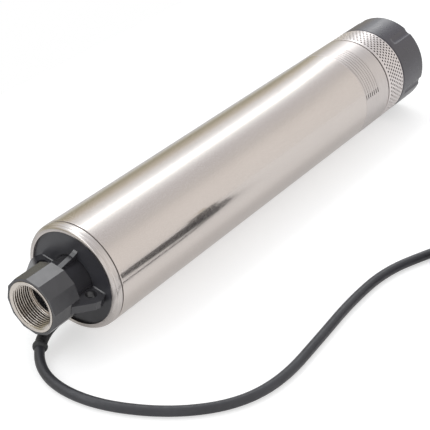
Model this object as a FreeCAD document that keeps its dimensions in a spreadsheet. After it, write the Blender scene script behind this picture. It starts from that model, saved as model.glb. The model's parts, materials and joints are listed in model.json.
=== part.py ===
import FreeCAD, Part
import math
import os
import Sketcher

# Submersible borehole pump, lying on its side. X runs along the pump from the discharge mouth to the
# end cap, +Z is up, and the origin is on the ground under the middle of the pump. Sizes are in mm.
# A station is the distance along the axis from the mouth's rim.

os.makedirs("parts", exist_ok=True)
doc = FreeCAD.newDocument("submersible_pump")
sheet = doc.addObject("Spreadsheet::Sheet", "Dims")

SIZES = (
    # Steel shell
    ("tube_radius", 49.0),
    ("tube_wall", 1.2),
    ("sleeve_length", 48.0),
    ("ring_band", 8.4),
    ("ring_wall", 1.1),
    ("lip_rise", 1.4),
    ("lip_width", 6.1),
    ("lip_round", 2.6),
    ("lip_inner_round", 1.2),
    ("seam_chamfer", 0.35),
    ("seat_gap", 0.1),
    # Intake slots of the sleeve
    ("slot_first", 2.7),
    ("slot_pitch", 3.93),
    ("slot_width", 0.8),
    ("slot_sweep", 68.0),
    ("slot_turn", 5.5),
    ("slot_end_width", 1.6),
    ("slot_end_sweep", 4.5),
    # Discharge head
    ("neck_length", 50.0),
    ("neck_radius", 21.0),
    ("collar_length", 29.4),
    ("collar_radius", 26.3),
    ("head_recess", 1.0),
    ("head_flange", 12.0),
    ("head_plug", 20.0),
    ("head_roll", 9.8),
    ("lug_reach", 37.5),
    ("lug_thickness", 8.0),
    ("lug_start", 20.0),
    ("eye_radius", 5.0),
    ("eye_station", 42.6),
    ("eye_offset", 26.3),
    ("gusset_thickness", 4.4),
    ("gusset_reach", 27.8),
    ("throat_radius", 13.0),
    ("chamber_wall", 2.45),
    ("chamber_depth", 13.0),
    # Threaded insert, a G 1 1/4 female thread
    ("insert_proud", 0.6),
    ("insert_rim", 2.0),
    ("insert_rim_radius", 23.15),
    ("insert_radius", 21.8),
    ("insert_length", 26.5),
    ("insert_step", 20.0),
    ("insert_hole_radius", 16.6),
    ("mouth_chamfer_radius", 22.2),
    ("thread_crest_radius", 19.475),
    ("thread_root_radius", 20.955),
    ("thread_pitch", 2.309),
    ("thread_start", 1.9),
    # Check valve
    ("valve_bore", 17.5),
    ("valve_seat_length", 3.5),
    ("valve_seat_hole", 11.5),
    ("poppet_radius", 14.6),
    ("poppet_disc", 3.0),
    ("stem_radius", 3.0),
    ("stem_length", 15.5),
    ("guide_length", 7.0),
    ("guide_ring", 3.0),
    ("guide_hub_radius", 5.2),
    ("spring_radius", 7.4),
    ("spring_wire", 1.0),
    ("valve_gap", 0.1),
    # Cable entry and cable
    ("gland_inset", 6.0),
    ("gland_socket_radius", 7.2),
    ("gland_socket_depth", 10.0),
    ("gland_seal_length", 8.0),
    ("cable_radius", 4.4),
    ("relief_root_radius", 6.9),
    ("relief_tip_radius", 5.15),
    ("relief_bead_radius", 6.4),
    ("relief_bead_length", 5.0),
    ("relief_length", 53.5),
    ("cord_gap", 0.15),
    ("lead_radius", 1.3),
    ("lead_spread", 2.3),
    # Motor
    ("spider_length", 22.0),
    ("spider_ring", 2.0),
    ("can_setback", 12.0),
    ("jacket_width", 7.8),
    ("can_wall", 1.0),
    ("can_end", 1.5),
    ("tray_setback", 3.5),
    ("tray_thickness", 3.0),
    ("capacitor_radius", 15.0),
    ("capacitor_offset", 18.0),
    ("capacitor_length", 44.3),
    ("bracket_setback", 51.0),
    ("bracket_length", 12.0),
    ("bracket_wall", 2.0),
    ("core_setback", 75.0),
    ("core_length", 70.0),
    ("winding_overhang", 10.0),
    ("motor_room", 5.0),
    ("stator_depth", 13.7),
    ("air_gap", 0.5),
    ("cage_ring_length", 6.0),
    ("upper_shaft_radius", 6.0),
    ("rotor_shaft_radius", 9.0),
    ("seal_shaft_radius", 7.5),
    ("pump_shaft_radius", 6.0),
    ("upper_bearing_radius", 16.0),
    ("upper_bearing_length", 10.0),
    ("lower_bearing_radius", 17.5),
    ("lower_bearing_length", 11.0),
    ("ball_gap", 0.02),
    ("race_gap", 0.03),
    ("flange_depth", 30.0),
    ("flange_lip", 4.0),
    ("oil_chamber_radius", 20.0),
    ("oil_chamber_length", 9.0),
    ("seal_seat_radius", 12.5),
    ("seal_seat_length", 5.0),
    ("seal_ring_length", 5.5),
    ("seal_bellows_length", 8.0),
    ("running_gap", 0.05),
    # Pump stages
    ("lantern_length", 33.0),
    ("lantern_plate", 4.0),
    ("stage_pitch", 27.5),
    ("stage_wall", 2.2),
    ("stage_plate", 3.0),
    ("eye_neck_radius", 17.5),
    ("eye_gap", 0.5),
    ("impeller_room", 7.5),
    ("impeller_setback", 10.0),
    ("impeller_width", 11.0),
    ("shroud", 1.8),
    ("vane", 2.0),
    ("spacer_radius", 8.5),
    ("inlet_hub_radius", 15.0),
    ("inlet_hub_length", 13.0),
    ("inlet_room", 31.0),
    ("inlet_overlap", 1.5),
    ("bush_radius", 11.5),
    ("nut_length", 7.0),
    ("nut_radius", 9.6),
    # Strainer, spigot and end cap
    ("strainer_length", 31.0),
    ("strainer_gap", 1.2),
    ("cap_wall", 6.7),
    ("spigot_wall", 3.5),
    ("spigot_seat", 10.0),
    ("spigot_reach", 24.0),
    ("cap_length", 45.0),
    ("cap_end_wall", 5.0),
    ("cap_round", 1.2),
    ("cap_gap", 0.3),
    ("cap_roll", 33.0),
    ("flute_depth", 1.5),
    ("flute_half_width", 4.2),
    ("flute_length", 35.0),
    ("o_ring_section", 1.1),
    ("head_ring_section", 1.8),
    # Coil of the spare cable, its tie and its plug
    ("coil_turn_radius", 79.2),
    ("coil_pitch", 9.7),
    ("coil_lift", 1.6),
    ("tie_width", 14.0),
    ("tie_thickness", 1.2),
    ("buckle_length", 10.0),
    ("buckle_thickness", 2.2),
    ("plug_radius", 19.0),
    ("plug_height", 33.0),
    ("plug_entry_height", 9.0),
    ("plug_arm_length", 17.0),
    ("plug_arm_radius", 7.5),
    ("pin_radius", 2.4),
    ("pin_length", 19.0),
    ("pin_spacing", 19.0),
)
for row, (alias, value) in enumerate(SIZES, 1):
    sheet.set("A%d" % row, alias)
    sheet.set("B%d" % row, repr(value))
    sheet.setAlias("B%d" % row, alias)
doc.recompute()

SLOTS = 7
SLOT_GROUPS = 3
COLLAR_SIDES = 12
THREAD_TURNS = 8
STAGES = 4
WINDING_SLOTS = 12
RIBS = 6
GUIDE_ARMS = 3
BALLS = 8
IMPELLER_VANES = 6
DIFFUSER_VANES = 8
INLET_ARMS = 4
SPIGOT_WINDOWS = 8
FLUTES = 5
COIL_LAYERS = 4
QUARTERS_PER_LAYER = 17
SPRING_QUARTERS = 20


def number(expression):
    """Value of an expression in the sheet's sizes."""
    return float(sheet.evalExpression(expression))


# Stations along the axis, from the mouth's rim. Each part follows the one before it, so the tube is as
# long as the head, the motor and the stages need.
LIP_FRONT = "(Dims.neck_length - Dims.lip_rise)"
BAND_END = "(%s + Dims.ring_band)" % LIP_FRONT
HEAD_FACE = "(Dims.neck_length + Dims.head_recess)"
HEAD_SHOULDER = "(%s + Dims.head_flange)" % HEAD_FACE
HEAD_END = "(%s + Dims.head_plug)" % HEAD_SHOULDER
VALVE_SEAT = "(Dims.neck_length)"
CAN_START = "(%s + Dims.can_setback)" % HEAD_END
SPIDER_END = "(%s + Dims.spider_length)" % HEAD_END
TRAY = "(%s + Dims.tray_setback)" % CAN_START
TRAY_FACE = "(%s + Dims.tray_thickness)" % TRAY
BRACKET = "(%s + Dims.bracket_setback)" % CAN_START
BRACKET_END = "(%s + Dims.bracket_length)" % BRACKET
CORE_START = "(%s + Dims.core_setback)" % CAN_START
CORE_END = "(%s + Dims.core_length)" % CORE_START
WINDING_START = "(%s - Dims.winding_overhang)" % CORE_START
WINDING_END = "(%s + Dims.winding_overhang)" % CORE_END
UPPER_BEARING = "(%s - Dims.upper_bearing_length)" % BRACKET_END
FLANGE_START = "(%s + Dims.motor_room)" % WINDING_END
CAN_END = "(%s + Dims.flange_depth)" % FLANGE_START
FLANGE_END = "(%s + Dims.flange_lip)" % CAN_END
LOWER_BEARING_END = "(%s + Dims.lower_bearing_length)" % FLANGE_START
SEAL_SEAT = "(%s - Dims.seal_seat_length)" % FLANGE_END
SEAL_RING = "(%s + Dims.running_gap)" % FLANGE_END
SEAL_BELLOWS = "(%s + Dims.seal_ring_length)" % SEAL_RING
SEAL_END = "(%s + Dims.seal_bellows_length)" % SEAL_BELLOWS
LANTERN_START = "(%s - 10)" % FLANGE_END
STACK_START = "(%s + Dims.lantern_length)" % LANTERN_START
STACK_END = "(%s + %d * Dims.stage_pitch)" % (STACK_START, STAGES)
TUBE_END = "(%s + Dims.inlet_room)" % STACK_END
INLET_END = "(%s + Dims.inlet_overlap)" % TUBE_END
HUB_START = "(%s + 2)" % STACK_END
HUB_END = "(%s + Dims.inlet_hub_length)" % HUB_START
NUT_START = "(%s + 3)" % HUB_END
SLEEVE_END = "(%s + Dims.sleeve_length)" % TUBE_END
CAP_START = "(%s + Dims.strainer_length)" % SLEEVE_END
OVERALL = "(%s + Dims.cap_length)" % CAP_START
STRAINER_START = "(%s + Dims.strainer_gap)" % SLEEVE_END
SPIGOT_END = "(%s + Dims.spigot_reach)" % CAP_START

# Radii that mating pieces share
BORE = "(Dims.tube_radius - Dims.tube_wall)"
SNUG = "(%s - Dims.seat_gap)" % BORE
LIP_INNER = "(Dims.tube_radius - Dims.lip_width)"
RING_BORE = "(%s - Dims.ring_wall)" % SNUG
CAN_RADIUS = "(%s - Dims.jacket_width)" % BORE
CAN_BORE = "(%s - Dims.can_wall)" % CAN_RADIUS
CAN_SNUG = "(%s - Dims.seat_gap)" % CAN_BORE
CAN_CLASP = "(%s + Dims.seat_gap)" % CAN_RADIUS
STAGE_BORE = "(%s - Dims.stage_wall)" % SNUG
IMPELLER_RADIUS = "(%s - Dims.impeller_room)" % STAGE_BORE
STATOR_BORE = "(%s - Dims.stator_depth)" % CAN_SNUG
ROTOR_RADIUS = "(%s - Dims.air_gap)" % STATOR_BORE
SPACER_BORE = "(Dims.pump_shaft_radius + Dims.race_gap)"
CAP_BORE = "(Dims.tube_radius - Dims.cap_wall)"
SPIGOT_RADIUS = "(%s - Dims.cap_gap)" % CAP_BORE
STRAINER_HOLE = "(%s + Dims.seat_gap)" % CAP_BORE
GUIDE_BORE = "(Dims.stem_radius + Dims.running_gap)"
CABLE_HOLE = "(Dims.cable_radius + Dims.cord_gap)"
GLAND_OFFSET = "(%s - Dims.gland_inset)" % CAN_RADIUS
CHAMBER_RADIUS = "(%s - %s - Dims.chamber_wall)" % (GLAND_OFFSET, CABLE_HOLE)


def plane_of(body, role):
    return next(plane for plane in body.Origin.OriginFeatures if plane.Role == role)


def bind(sketch, kind, geometry, point, expression):
    """Ties one coordinate of a sketch point to the sheet."""
    value = number(expression)
    if value < 0:
        constraint = Sketcher.Constraint(kind, geometry, point, -1, 1, -value)
        index = sketch.addConstraint(constraint)
        sketch.setExpression("Constraints[%d]" % index, "-(%s)" % expression)
        return
    constraint = Sketcher.Constraint(kind, -1, 1, geometry, point, value)
    index = sketch.addConstraint(constraint)
    sketch.setExpression("Constraints[%d]" % index, expression)


def empty_sketch(body, name, role, station=None, turn=None):
    """A sketch on one of the body's planes, moved to a station or turned about the axis."""
    sketch = body.newObject("Sketcher::SketchObject", name)
    sketch.AttachmentSupport = [(plane_of(body, role), "")]
    sketch.MapMode = "FlatFace"
    if turn is not None:
        sketch.AttachmentOffset = FreeCAD.Placement(
            FreeCAD.Vector(), FreeCAD.Rotation(FreeCAD.Vector(1, 0, 0), number(turn)))
        sketch.setExpression("AttachmentOffset.Rotation.Angle", turn)
    if station is not None:
        sketch.setExpression("AttachmentOffset.Base.z", station)
    return sketch


def outline_sketch(body, name, outline, role="XZ_Plane", station=None, turn=None):
    """A closed outline whose corners are pairs of expressions."""
    sketch = empty_sketch(body, name, role, station, turn)
    corners = [FreeCAD.Vector(number(x), number(y), 0) for x, y in outline]
    count = len(corners)
    sketch.addGeometry([Part.LineSegment(corners[i], corners[(i + 1) % count]) for i in range(count)], False)
    for i in range(count):
        sketch.addConstraint(Sketcher.Constraint("Coincident", i, 2, (i + 1) % count, 1))
    for i, (x, y) in enumerate(outline):
        bind(sketch, "DistanceX", i, 1, x)
        bind(sketch, "DistanceY", i, 1, y)
    return sketch


def circle_sketch(body, name, across, up, radius, role="YZ_Plane", station=None):
    """A round hole or boss at a place given by expressions."""
    sketch = empty_sketch(body, name, role, station)
    centre = FreeCAD.Vector(number(across), number(up), 0)
    sketch.addGeometry(Part.Circle(centre, FreeCAD.Vector(0, 0, 1), number(radius)), False)
    bind(sketch, "DistanceX", 0, 3, across)
    bind(sketch, "DistanceY", 0, 3, up)
    index = sketch.addConstraint(Sketcher.Constraint("Radius", 0, number(radius)))
    sketch.setExpression("Constraints[%d]" % index, radius)
    return sketch


def box_outline(low, high, inner, outer):
    """Corners of a ring's section between two stations and two radii."""
    return [(low, inner), (low, outer), (high, outer), (high, inner)]


def lay(piece, roll="0", offset="0"):
    """Lays a piece along the pump's axis, turned by roll degrees, or on an axis below it by offset."""
    piece.Placement = FreeCAD.Placement(FreeCAD.Vector(), FreeCAD.Rotation(FreeCAD.Vector(1, 0, 0), 10))
    piece.setExpression("Placement.Rotation.Angle", roll)
    piece.setExpression("Placement.Base.x", "-(%s) / 2" % OVERALL)
    piece.setExpression("Placement.Base.y", "(%s) * sin(Dims.head_roll * 1 deg)" % offset)
    piece.setExpression("Placement.Base.z", "Dims.tube_radius - (%s) * cos(Dims.head_roll * 1 deg)" % offset)


def new_body(label, roll="0", offset="0"):
    body = doc.addObject("PartDesign::Body", label)
    body.Label = label
    lay(body, roll, offset)
    return body


def turn(body, name, outline, angle="360", cut=False, role="XZ_Plane", start=None):
    """Revolves an outline about the axis, to add to the body or to cut it."""
    sketch = outline_sketch(body, name + "_outline", outline, role, turn=start)
    kind = "PartDesign::Groove" if cut else "PartDesign::Revolution"
    feature = body.newObject(kind, name)
    feature.Profile = sketch
    feature.ReferenceAxis = (sketch, ["H_Axis"])
    feature.setExpression("Angle", angle)
    body.Tip = feature
    return feature


def turned(label, outline, roll="0", offset="0"):
    """A body turned about its axis."""
    body = new_body(label, roll, offset)
    turn(body, label + "_turned", outline)
    return body


def ring(label, low, high, inner, outer, roll="0", offset="0"):
    return turned(label, box_outline(low, high, inner, outer), roll, offset)


def pad(body, name, sketch, length, symmetric=False, reverse=False):
    feature = body.newObject("PartDesign::Pad", name)
    feature.Profile = sketch
    feature.setExpression("Length", length)
    feature.Midplane = symmetric
    feature.Reversed = reverse
    body.Tip = feature
    return feature


def pocket(body, name, sketch, length, symmetric=False, reverse=False):
    feature = body.newObject("PartDesign::Pocket", name)
    feature.Profile = sketch
    feature.setExpression("Length", length)
    feature.Midplane = symmetric
    feature.Reversed = reverse
    body.Tip = feature
    return feature


def around(body, name, features, count):
    """Repeats features evenly round the axis."""
    pattern = body.newObject("PartDesign::PolarPattern", name)
    pattern.Originals = features
    pattern.Axis = (plane_of(body, "X_Axis"), [""])
    pattern.Angle = 360
    pattern.Occurrences = count
    body.Tip = pattern
    return pattern


def rim_edges(feature, station, radius):
    """Names of the feature's round edges at a station and radius."""
    place = number(station)
    size = number(radius)
    names = []
    for index, edge in enumerate(feature.Shape.Edges, 1):
        curve = edge.Curve
        if not isinstance(curve, Part.Circle) or abs(curve.Radius - size) > 1e-4:
            continue
        if abs(curve.Center.x - place) < 1e-4:
            names.append("Edge%d" % index)
    return names


def soften(body, name, base, rims, size, kind="PartDesign::Fillet"):
    """Rounds or chamfers the feature's rims, given as pairs of station and radius."""
    doc.recompute()
    edges = [edge for station, radius in rims for edge in rim_edges(base, station, radius)]
    feature = body.newObject(kind, name)
    feature.Base = (base, edges)
    feature.setExpression("Radius" if kind.endswith("Fillet") else "Size", size)
    body.Tip = feature
    return feature


def solid_feature(label, shape, place=FreeCAD.Placement()):
    """A piece whose shape follows a route, in its place."""
    piece = doc.addObject("Part::Feature", label)
    piece.Label = label
    piece.Shape = shape
    piece.Placement = place
    return piece


def make_shell():
    """Retaining ring with its rolled lip, outer tube and slotted intake sleeve."""
    band = new_body("head_ring")
    outline = [
        (LIP_FRONT, LIP_INNER), (LIP_FRONT, "Dims.tube_radius"),
        (BAND_END, "Dims.tube_radius"), (BAND_END, SNUG), (HEAD_SHOULDER, SNUG),
        (HEAD_SHOULDER, RING_BORE), (HEAD_FACE, RING_BORE), (HEAD_FACE, LIP_INNER),
    ]
    profile = turn(band, "head_ring_turned", outline)
    outer = soften(band, "lip_outer_round", profile, [(LIP_FRONT, "Dims.tube_radius")], "Dims.lip_round")
    inner = soften(band, "lip_inner_round_edge", outer, [(LIP_FRONT, LIP_INNER)],
                   "Dims.lip_inner_round")
    soften(band, "ring_seam", inner, [(BAND_END, "Dims.tube_radius")], "Dims.seam_chamfer",
           "PartDesign::Chamfer")
    tube = ring("outer_tube", BAND_END, TUBE_END, BORE, "Dims.tube_radius")
    soften(tube, "tube_seams", tube.Tip, [(BAND_END, "Dims.tube_radius"), (TUBE_END, "Dims.tube_radius")],
           "Dims.seam_chamfer / 2", "PartDesign::Chamfer")
    make_sleeve()


def make_sleeve():
    """Intake sleeve with groups of narrow slots that widen at one end."""
    lead = "(180 / %d - Dims.slot_sweep / 2)" % SLOT_GROUPS
    sleeve = new_body("intake_sleeve", "Dims.slot_turn - " + lead)
    third = turn(sleeve, "sleeve_third", box_outline(TUBE_END, SLEEVE_END, BORE, "Dims.tube_radius"),
                 "360 / %d" % SLOT_GROUPS)
    whole = around(sleeve, "sleeve_ring", [third], SLOT_GROUPS)
    middle = "(%s + Dims.slot_first)" % TUBE_END
    narrow = box_outline(middle + " - Dims.slot_width / 2", middle + " + Dims.slot_width / 2",
                         BORE + " - 1", "Dims.tube_radius + 1")
    wide = box_outline(middle + " - Dims.slot_end_width / 2", middle + " + Dims.slot_end_width / 2",
                       BORE + " - 1", "Dims.tube_radius + 1")
    slot = turn(sleeve, "slot", narrow, "Dims.slot_sweep - Dims.slot_end_sweep / 2", cut=True, start=lead)
    end = turn(sleeve, "slot_end", wide, "Dims.slot_end_sweep", cut=True,
               start=lead + " + Dims.slot_sweep - Dims.slot_end_sweep")
    repeat = sleeve.newObject("PartDesign::MultiTransform", "slots")
    repeat.Originals = [slot, end]
    row = sleeve.newObject("PartDesign::LinearPattern", "slot_row")
    row.Direction = (plane_of(sleeve, "X_Axis"), [""])
    row.setExpression("Length", "%d * Dims.slot_pitch" % (SLOTS - 1))
    row.Occurrences = SLOTS
    groups = sleeve.newObject("PartDesign::PolarPattern", "slot_groups")
    groups.Axis = (plane_of(sleeve, "X_Axis"), [""])
    groups.Angle = 360
    groups.Occurrences = SLOT_GROUPS
    repeat.Transformations = [row, groups]
    # The curved faces stay in thirds, so each holds one group of slots whole
    for feature in (third, whole, slot, end, repeat):
        feature.Refine = False
    sleeve.Tip = repeat


def make_head():
    """Discharge head: neck with its twelve-sided collar, rope lugs and top gusset."""
    head = new_body("discharge_head", "Dims.head_roll")
    face = "Dims.insert_proud"
    turn(head, "neck", box_outline(face, HEAD_SHOULDER, "0", "Dims.neck_radius"))
    collar = head.newObject("PartDesign::AdditivePrism", "collar")
    collar.AttachmentSupport = [(plane_of(head, "YZ_Plane"), "")]
    collar.MapMode = "FlatFace"
    collar.AttachmentOffset = FreeCAD.Placement(
        FreeCAD.Vector(), FreeCAD.Rotation(FreeCAD.Vector(0, 0, 1), 180 / COLLAR_SIDES))
    collar.setExpression("AttachmentOffset.Base.z", face)
    collar.Polygon = COLLAR_SIDES
    collar.setExpression("Circumradius", "Dims.collar_radius")
    collar.setExpression("Height", "Dims.collar_length")
    head.Tip = collar
    reach = "Dims.lug_reach"
    side = [
        ("Dims.lug_start", "Dims.collar_radius - 0.6"), ("Dims.lug_start + 6.7", reach + " - 7.6"),
        ("Dims.eye_station - 9.3", reach + " - 3.7"), ("Dims.eye_station - 4.6", reach + " - 1.2"),
        ("Dims.eye_station", reach), ("Dims.eye_station + 3.4", reach + " - 0.5"),
        (HEAD_FACE, reach + " - 2.3"),
    ]
    other = [(x, "-(%s)" % y) for x, y in reversed(side)]
    lugs = outline_sketch(head, "lug_outline", side + other, "XY_Plane")
    pad(head, "lugs", lugs, "Dims.lug_thickness", symmetric=True)
    collar_end = "(%s + Dims.collar_length)" % face
    web = outline_sketch(head, "gusset_outline", [
        (collar_end + " - 1", "Dims.neck_radius - 1"), (collar_end + " - 1", "Dims.neck_radius + 1.5"),
        (HEAD_FACE + " - 5", "Dims.gusset_reach - 1.6"), (HEAD_FACE + " - 1.6", "Dims.gusset_reach"),
        (HEAD_FACE, "Dims.gusset_reach + 1.6"), (HEAD_FACE, "Dims.neck_radius - 1"),
    ])
    pad(head, "gusset", web, "Dims.gusset_thickness", symmetric=True)
    cut_waterway(head, face)
    for name, side in (("near_eye", "1"), ("far_eye", "-1")):
        eye = circle_sketch(head, name + "_circle", "Dims.eye_station", side + " * Dims.eye_offset",
                            "Dims.eye_radius", "XY_Plane")
        pocket(head, name, eye, "2 * Dims.lug_thickness", symmetric=True)
    make_plate()


def make_plate():
    """Head plate: the disc that holds the neck, and the plug with its seal that closes the tube."""
    plate = new_body("head_plate", "Dims.head_roll")
    hole = "(Dims.neck_radius + Dims.seat_gap)"
    turn(plate, "plate_turned", [
        (HEAD_FACE, hole), (HEAD_FACE, RING_BORE + " - Dims.seat_gap"),
        (HEAD_SHOULDER, RING_BORE + " - Dims.seat_gap"), (HEAD_SHOULDER, SNUG), (HEAD_END, SNUG),
        (HEAD_END, CHAMBER_RADIUS), (HEAD_END + " - Dims.chamber_depth", CHAMBER_RADIUS),
        (HEAD_SHOULDER + " + 1", "Dims.throat_radius"), (HEAD_SHOULDER, "Dims.throat_radius"),
        (HEAD_SHOULDER, hole),
    ])
    groove_depth = "%s - 2 * Dims.head_ring_section + 0.1" % SNUG
    turn(plate, "ring_groove", box_outline(
        HEAD_SHOULDER + " + 6", HEAD_SHOULDER + " + 6 + 2.4 * Dims.head_ring_section",
        groove_depth, SNUG + " + 1"), cut=True)
    socket = circle_sketch(plate, "socket_circle", "0", "-" + GLAND_OFFSET, "Dims.gland_socket_radius",
                           station=HEAD_FACE)
    pocket(plate, "gland_socket", socket, "Dims.gland_socket_depth + Dims.gland_seal_length", reverse=True)
    passage = circle_sketch(plate, "passage_circle", "0", "-" + GLAND_OFFSET, CABLE_HOLE, station=HEAD_FACE)
    pocket(plate, "cable_passage", passage, "Dims.head_flange + Dims.head_plug + 1", reverse=True)
    chosen = "Dims.head_ring_section * 0.94"
    middle = "%s + 6 + 1.2 * Dims.head_ring_section" % HEAD_SHOULDER
    o_ring("head_o_ring", middle, "%s - Dims.head_ring_section * 0.94" % SNUG, chosen)


def cut_waterway(head, face):
    """Insert seat, valve bore and throat."""
    turn(head, "waterway", [
        (face + " - 1", "0"), (face + " - 1", "Dims.insert_rim_radius + Dims.seat_gap"),
        ("Dims.insert_rim", "Dims.insert_rim_radius + Dims.seat_gap"),
        ("Dims.insert_rim", "Dims.insert_radius + Dims.seat_gap"),
        ("Dims.insert_length", "Dims.insert_radius + Dims.seat_gap"),
        ("Dims.insert_length", "Dims.valve_bore"),
        (VALVE_SEAT + " + Dims.valve_seat_length", "Dims.valve_bore"),
        (VALVE_SEAT + " + Dims.valve_seat_length", "Dims.throat_radius"),
        (HEAD_SHOULDER + " + 1", "Dims.throat_radius"), (HEAD_SHOULDER + " + 1", "0"),
    ], cut=True)


def o_ring(label, station, radius, section, roll="0"):
    """A round rubber ring as a torus whose section's centre is at a station and radius."""
    torus = doc.addObject("Part::Torus", label)
    torus.Label = label
    torus.setExpression("Radius1", radius)
    torus.setExpression("Radius2", section)
    torus.Placement = FreeCAD.Placement(
        FreeCAD.Vector(), FreeCAD.Rotation(FreeCAD.Vector(0, 1, 0), 90))
    torus.setExpression("Placement.Base.x", "%s - %s / 2" % (station, OVERALL))
    torus.setExpression("Placement.Base.z", "Dims.tube_radius")
    return torus


def make_insert():
    """Threaded metal insert. Its thread is a row of rings at the thread's pitch."""
    insert = new_body("thread_insert")
    rim = "Dims.insert_rim_radius"
    body_radius = "Dims.insert_radius"
    profile = turn(insert, "insert_turned", [
        ("0", "Dims.mouth_chamfer_radius"), ("0", rim), ("Dims.insert_rim", rim),
        ("Dims.insert_rim", body_radius), ("Dims.insert_length", body_radius),
        ("Dims.insert_length", "Dims.insert_hole_radius"), ("Dims.insert_step", "Dims.insert_hole_radius"),
        ("Dims.insert_step", "Dims.thread_crest_radius"),
        ("Dims.mouth_chamfer_radius - Dims.thread_crest_radius", "Dims.thread_crest_radius"),
    ])
    soften(insert, "rim_round", profile, [("0", rim)], "0.5")
    flank = "(Dims.thread_pitch * 0.38)"
    first = "(Dims.thread_start + %s)" % flank
    groove = turn(insert, "thread_groove", [
        (first + " - " + flank, "Dims.thread_crest_radius - 0.01"),
        (first + " - 0.1", "Dims.thread_root_radius"), (first + " + 0.1", "Dims.thread_root_radius"),
        (first + " + " + flank, "Dims.thread_crest_radius - 0.01"),
    ], cut=True)
    row = insert.newObject("PartDesign::LinearPattern", "thread_rings")
    row.Originals = [groove]
    row.Direction = (plane_of(insert, "X_Axis"), [""])
    row.setExpression("Length", "%d * Dims.thread_pitch" % (THREAD_TURNS - 1))
    row.Occurrences = THREAD_TURNS
    insert.Tip = row


def make_valve():
    """Check valve: seat, sprung poppet and the guide that holds its stem."""
    snug = "(Dims.valve_bore - Dims.seat_gap)"
    ring("valve_seat", VALVE_SEAT, VALVE_SEAT + " + Dims.valve_seat_length", "Dims.valve_seat_hole", snug)
    back = "(%s - Dims.valve_gap)" % VALVE_SEAT
    front = "(%s - Dims.poppet_disc)" % back
    turned("valve_poppet", [
        (back, "0"), (back, "Dims.poppet_radius"), (front, "Dims.poppet_radius - 1.5"),
        (front, "Dims.stem_radius"), (front + " - Dims.stem_length", "Dims.stem_radius"),
        (front + " - Dims.stem_length", "0"),
    ])
    guide = new_body("valve_guide", "Dims.head_roll")
    start = "Dims.insert_length"
    turn(guide, "guide_hub", box_outline(start, start + " + Dims.guide_length", GUIDE_BORE,
                                         "Dims.guide_hub_radius"))
    arm = outline_sketch(guide, "guide_arm_outline", box_outline(
        start, start + " + Dims.guide_ring", "Dims.guide_hub_radius - 0.5", snug + " - 0.5"))
    arms = pad(guide, "guide_arm", arm, "2.4", symmetric=True)
    around(guide, "guide_arms", [arms], GUIDE_ARMS)
    turn(guide, "guide_rim", box_outline(start, start + " + Dims.guide_ring", snug + " - 1.6", snug))
    make_valve_spring(start + " + Dims.guide_ring", front)


def tube_along(wire, radius):
    """A round solid of one radius swept along a route."""
    edge = wire.Edges[0]
    start = edge.valueAt(edge.FirstParameter)
    heading = edge.tangentAt(edge.FirstParameter)
    section = Part.Wire(Part.makeCircle(radius, start, heading))
    return wire.makePipeShell([section], True, False)


def biarc(start, start_heading, end, end_heading):
    """Two arcs that join two points and keep both headings."""
    chord = end - start
    both = start_heading + end_heading
    spread = 2 * (1 - start_heading.dot(end_heading))
    lean = chord.dot(both)
    reach = (-lean + math.sqrt(lean * lean + spread * chord.dot(chord))) / spread
    joint = (start + start_heading * reach + end - end_heading * reach) * 0.5
    return [Part.Arc(start, arc_middle(start, start_heading, joint), joint),
            Part.Arc(joint, arc_middle(end, end_heading * -1, joint), end)]


def arc_middle(start, heading, end):
    """Middle of the arc that leaves start along heading and reaches end."""
    chord = end - start
    half = chord.getAngle(heading) / 2
    side = heading - chord * (heading.dot(chord) / chord.dot(chord))
    side.normalize()
    return start + chord * 0.5 + side * (chord.Length / 2 * math.tan(half))


def winding(place, heading, count):
    """A smooth route of biarcs through count quarter turns, from functions of the quarter."""
    arcs = []
    for i in range(count):
        arcs += biarc(place(i), heading(i), place(i + 1), heading(i + 1))
    return Part.Wire([arc.toShape() for arc in arcs])


def heading_of(place):
    """Unit heading along a route given by a function, from a small step each way."""
    step = 0.001

    def heading(i):
        away = place(i + step) - place(i - step)
        away.normalize()
        return away
    return heading


def make_valve_spring(low, high):
    """Helical spring between the guide's ring and the poppet."""
    wire_radius = number("Dims.spring_wire") / 2
    start = number(low) + wire_radius + 0.1 - number(OVERALL) / 2
    reach = number(high) - number(low) - 2 * wire_radius - 0.2
    radius = number("Dims.spring_radius")
    axis_height = number("Dims.tube_radius")

    def place(i):
        angle = i * math.pi / 2
        along = start + reach * i / SPRING_QUARTERS
        return FreeCAD.Vector(along, radius * math.cos(angle), axis_height + radius * math.sin(angle))

    path = winding(place, heading_of(place), SPRING_QUARTERS)
    solid_feature("valve_spring", tube_along(path, wire_radius))
    gap = reach / (SPRING_QUARTERS / 4) - 2 * wire_radius
    print("valve spring: least gap between curls %.2f mm" % gap)


def make_gland():
    """Seal in the head's cable socket and the straight end of the cable inside the pump."""
    seal = "(%s + Dims.gland_socket_depth)" % HEAD_FACE
    ring("gland_seal", seal, seal + " + Dims.gland_seal_length", CABLE_HOLE,
         "Dims.gland_socket_radius - Dims.seat_gap", offset=GLAND_OFFSET)
    ring("cable_tail", HEAD_FACE, TRAY_FACE, "0", "Dims.cable_radius", offset=GLAND_OFFSET)


LEADS = (
    ("phase_lead", 90, WINDING_START), ("neutral_lead", 210, WINDING_START), ("earth_lead", 330, BRACKET),
)


def lead_place(angle):
    """Place of a lead across and up from the pump's axis, beside the cable's own axis."""
    across = "Dims.lead_spread * cos(%d deg)" % angle
    up = "Dims.lead_spread * sin(%d deg) - %s" % (angle, GLAND_OFFSET)
    return across, up


def make_leads():
    """Three leads from the cable's end to the windings and to the motor's bracket."""
    for label, angle, end in LEADS:
        lead = new_body(label, "Dims.head_roll")
        across, up = lead_place(angle)
        section = circle_sketch(lead, label + "_section", across, up, "Dims.lead_radius", station=TRAY_FACE)
        pad(lead, label + "_run", section, "%s - %s" % (end, TRAY_FACE))


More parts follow.
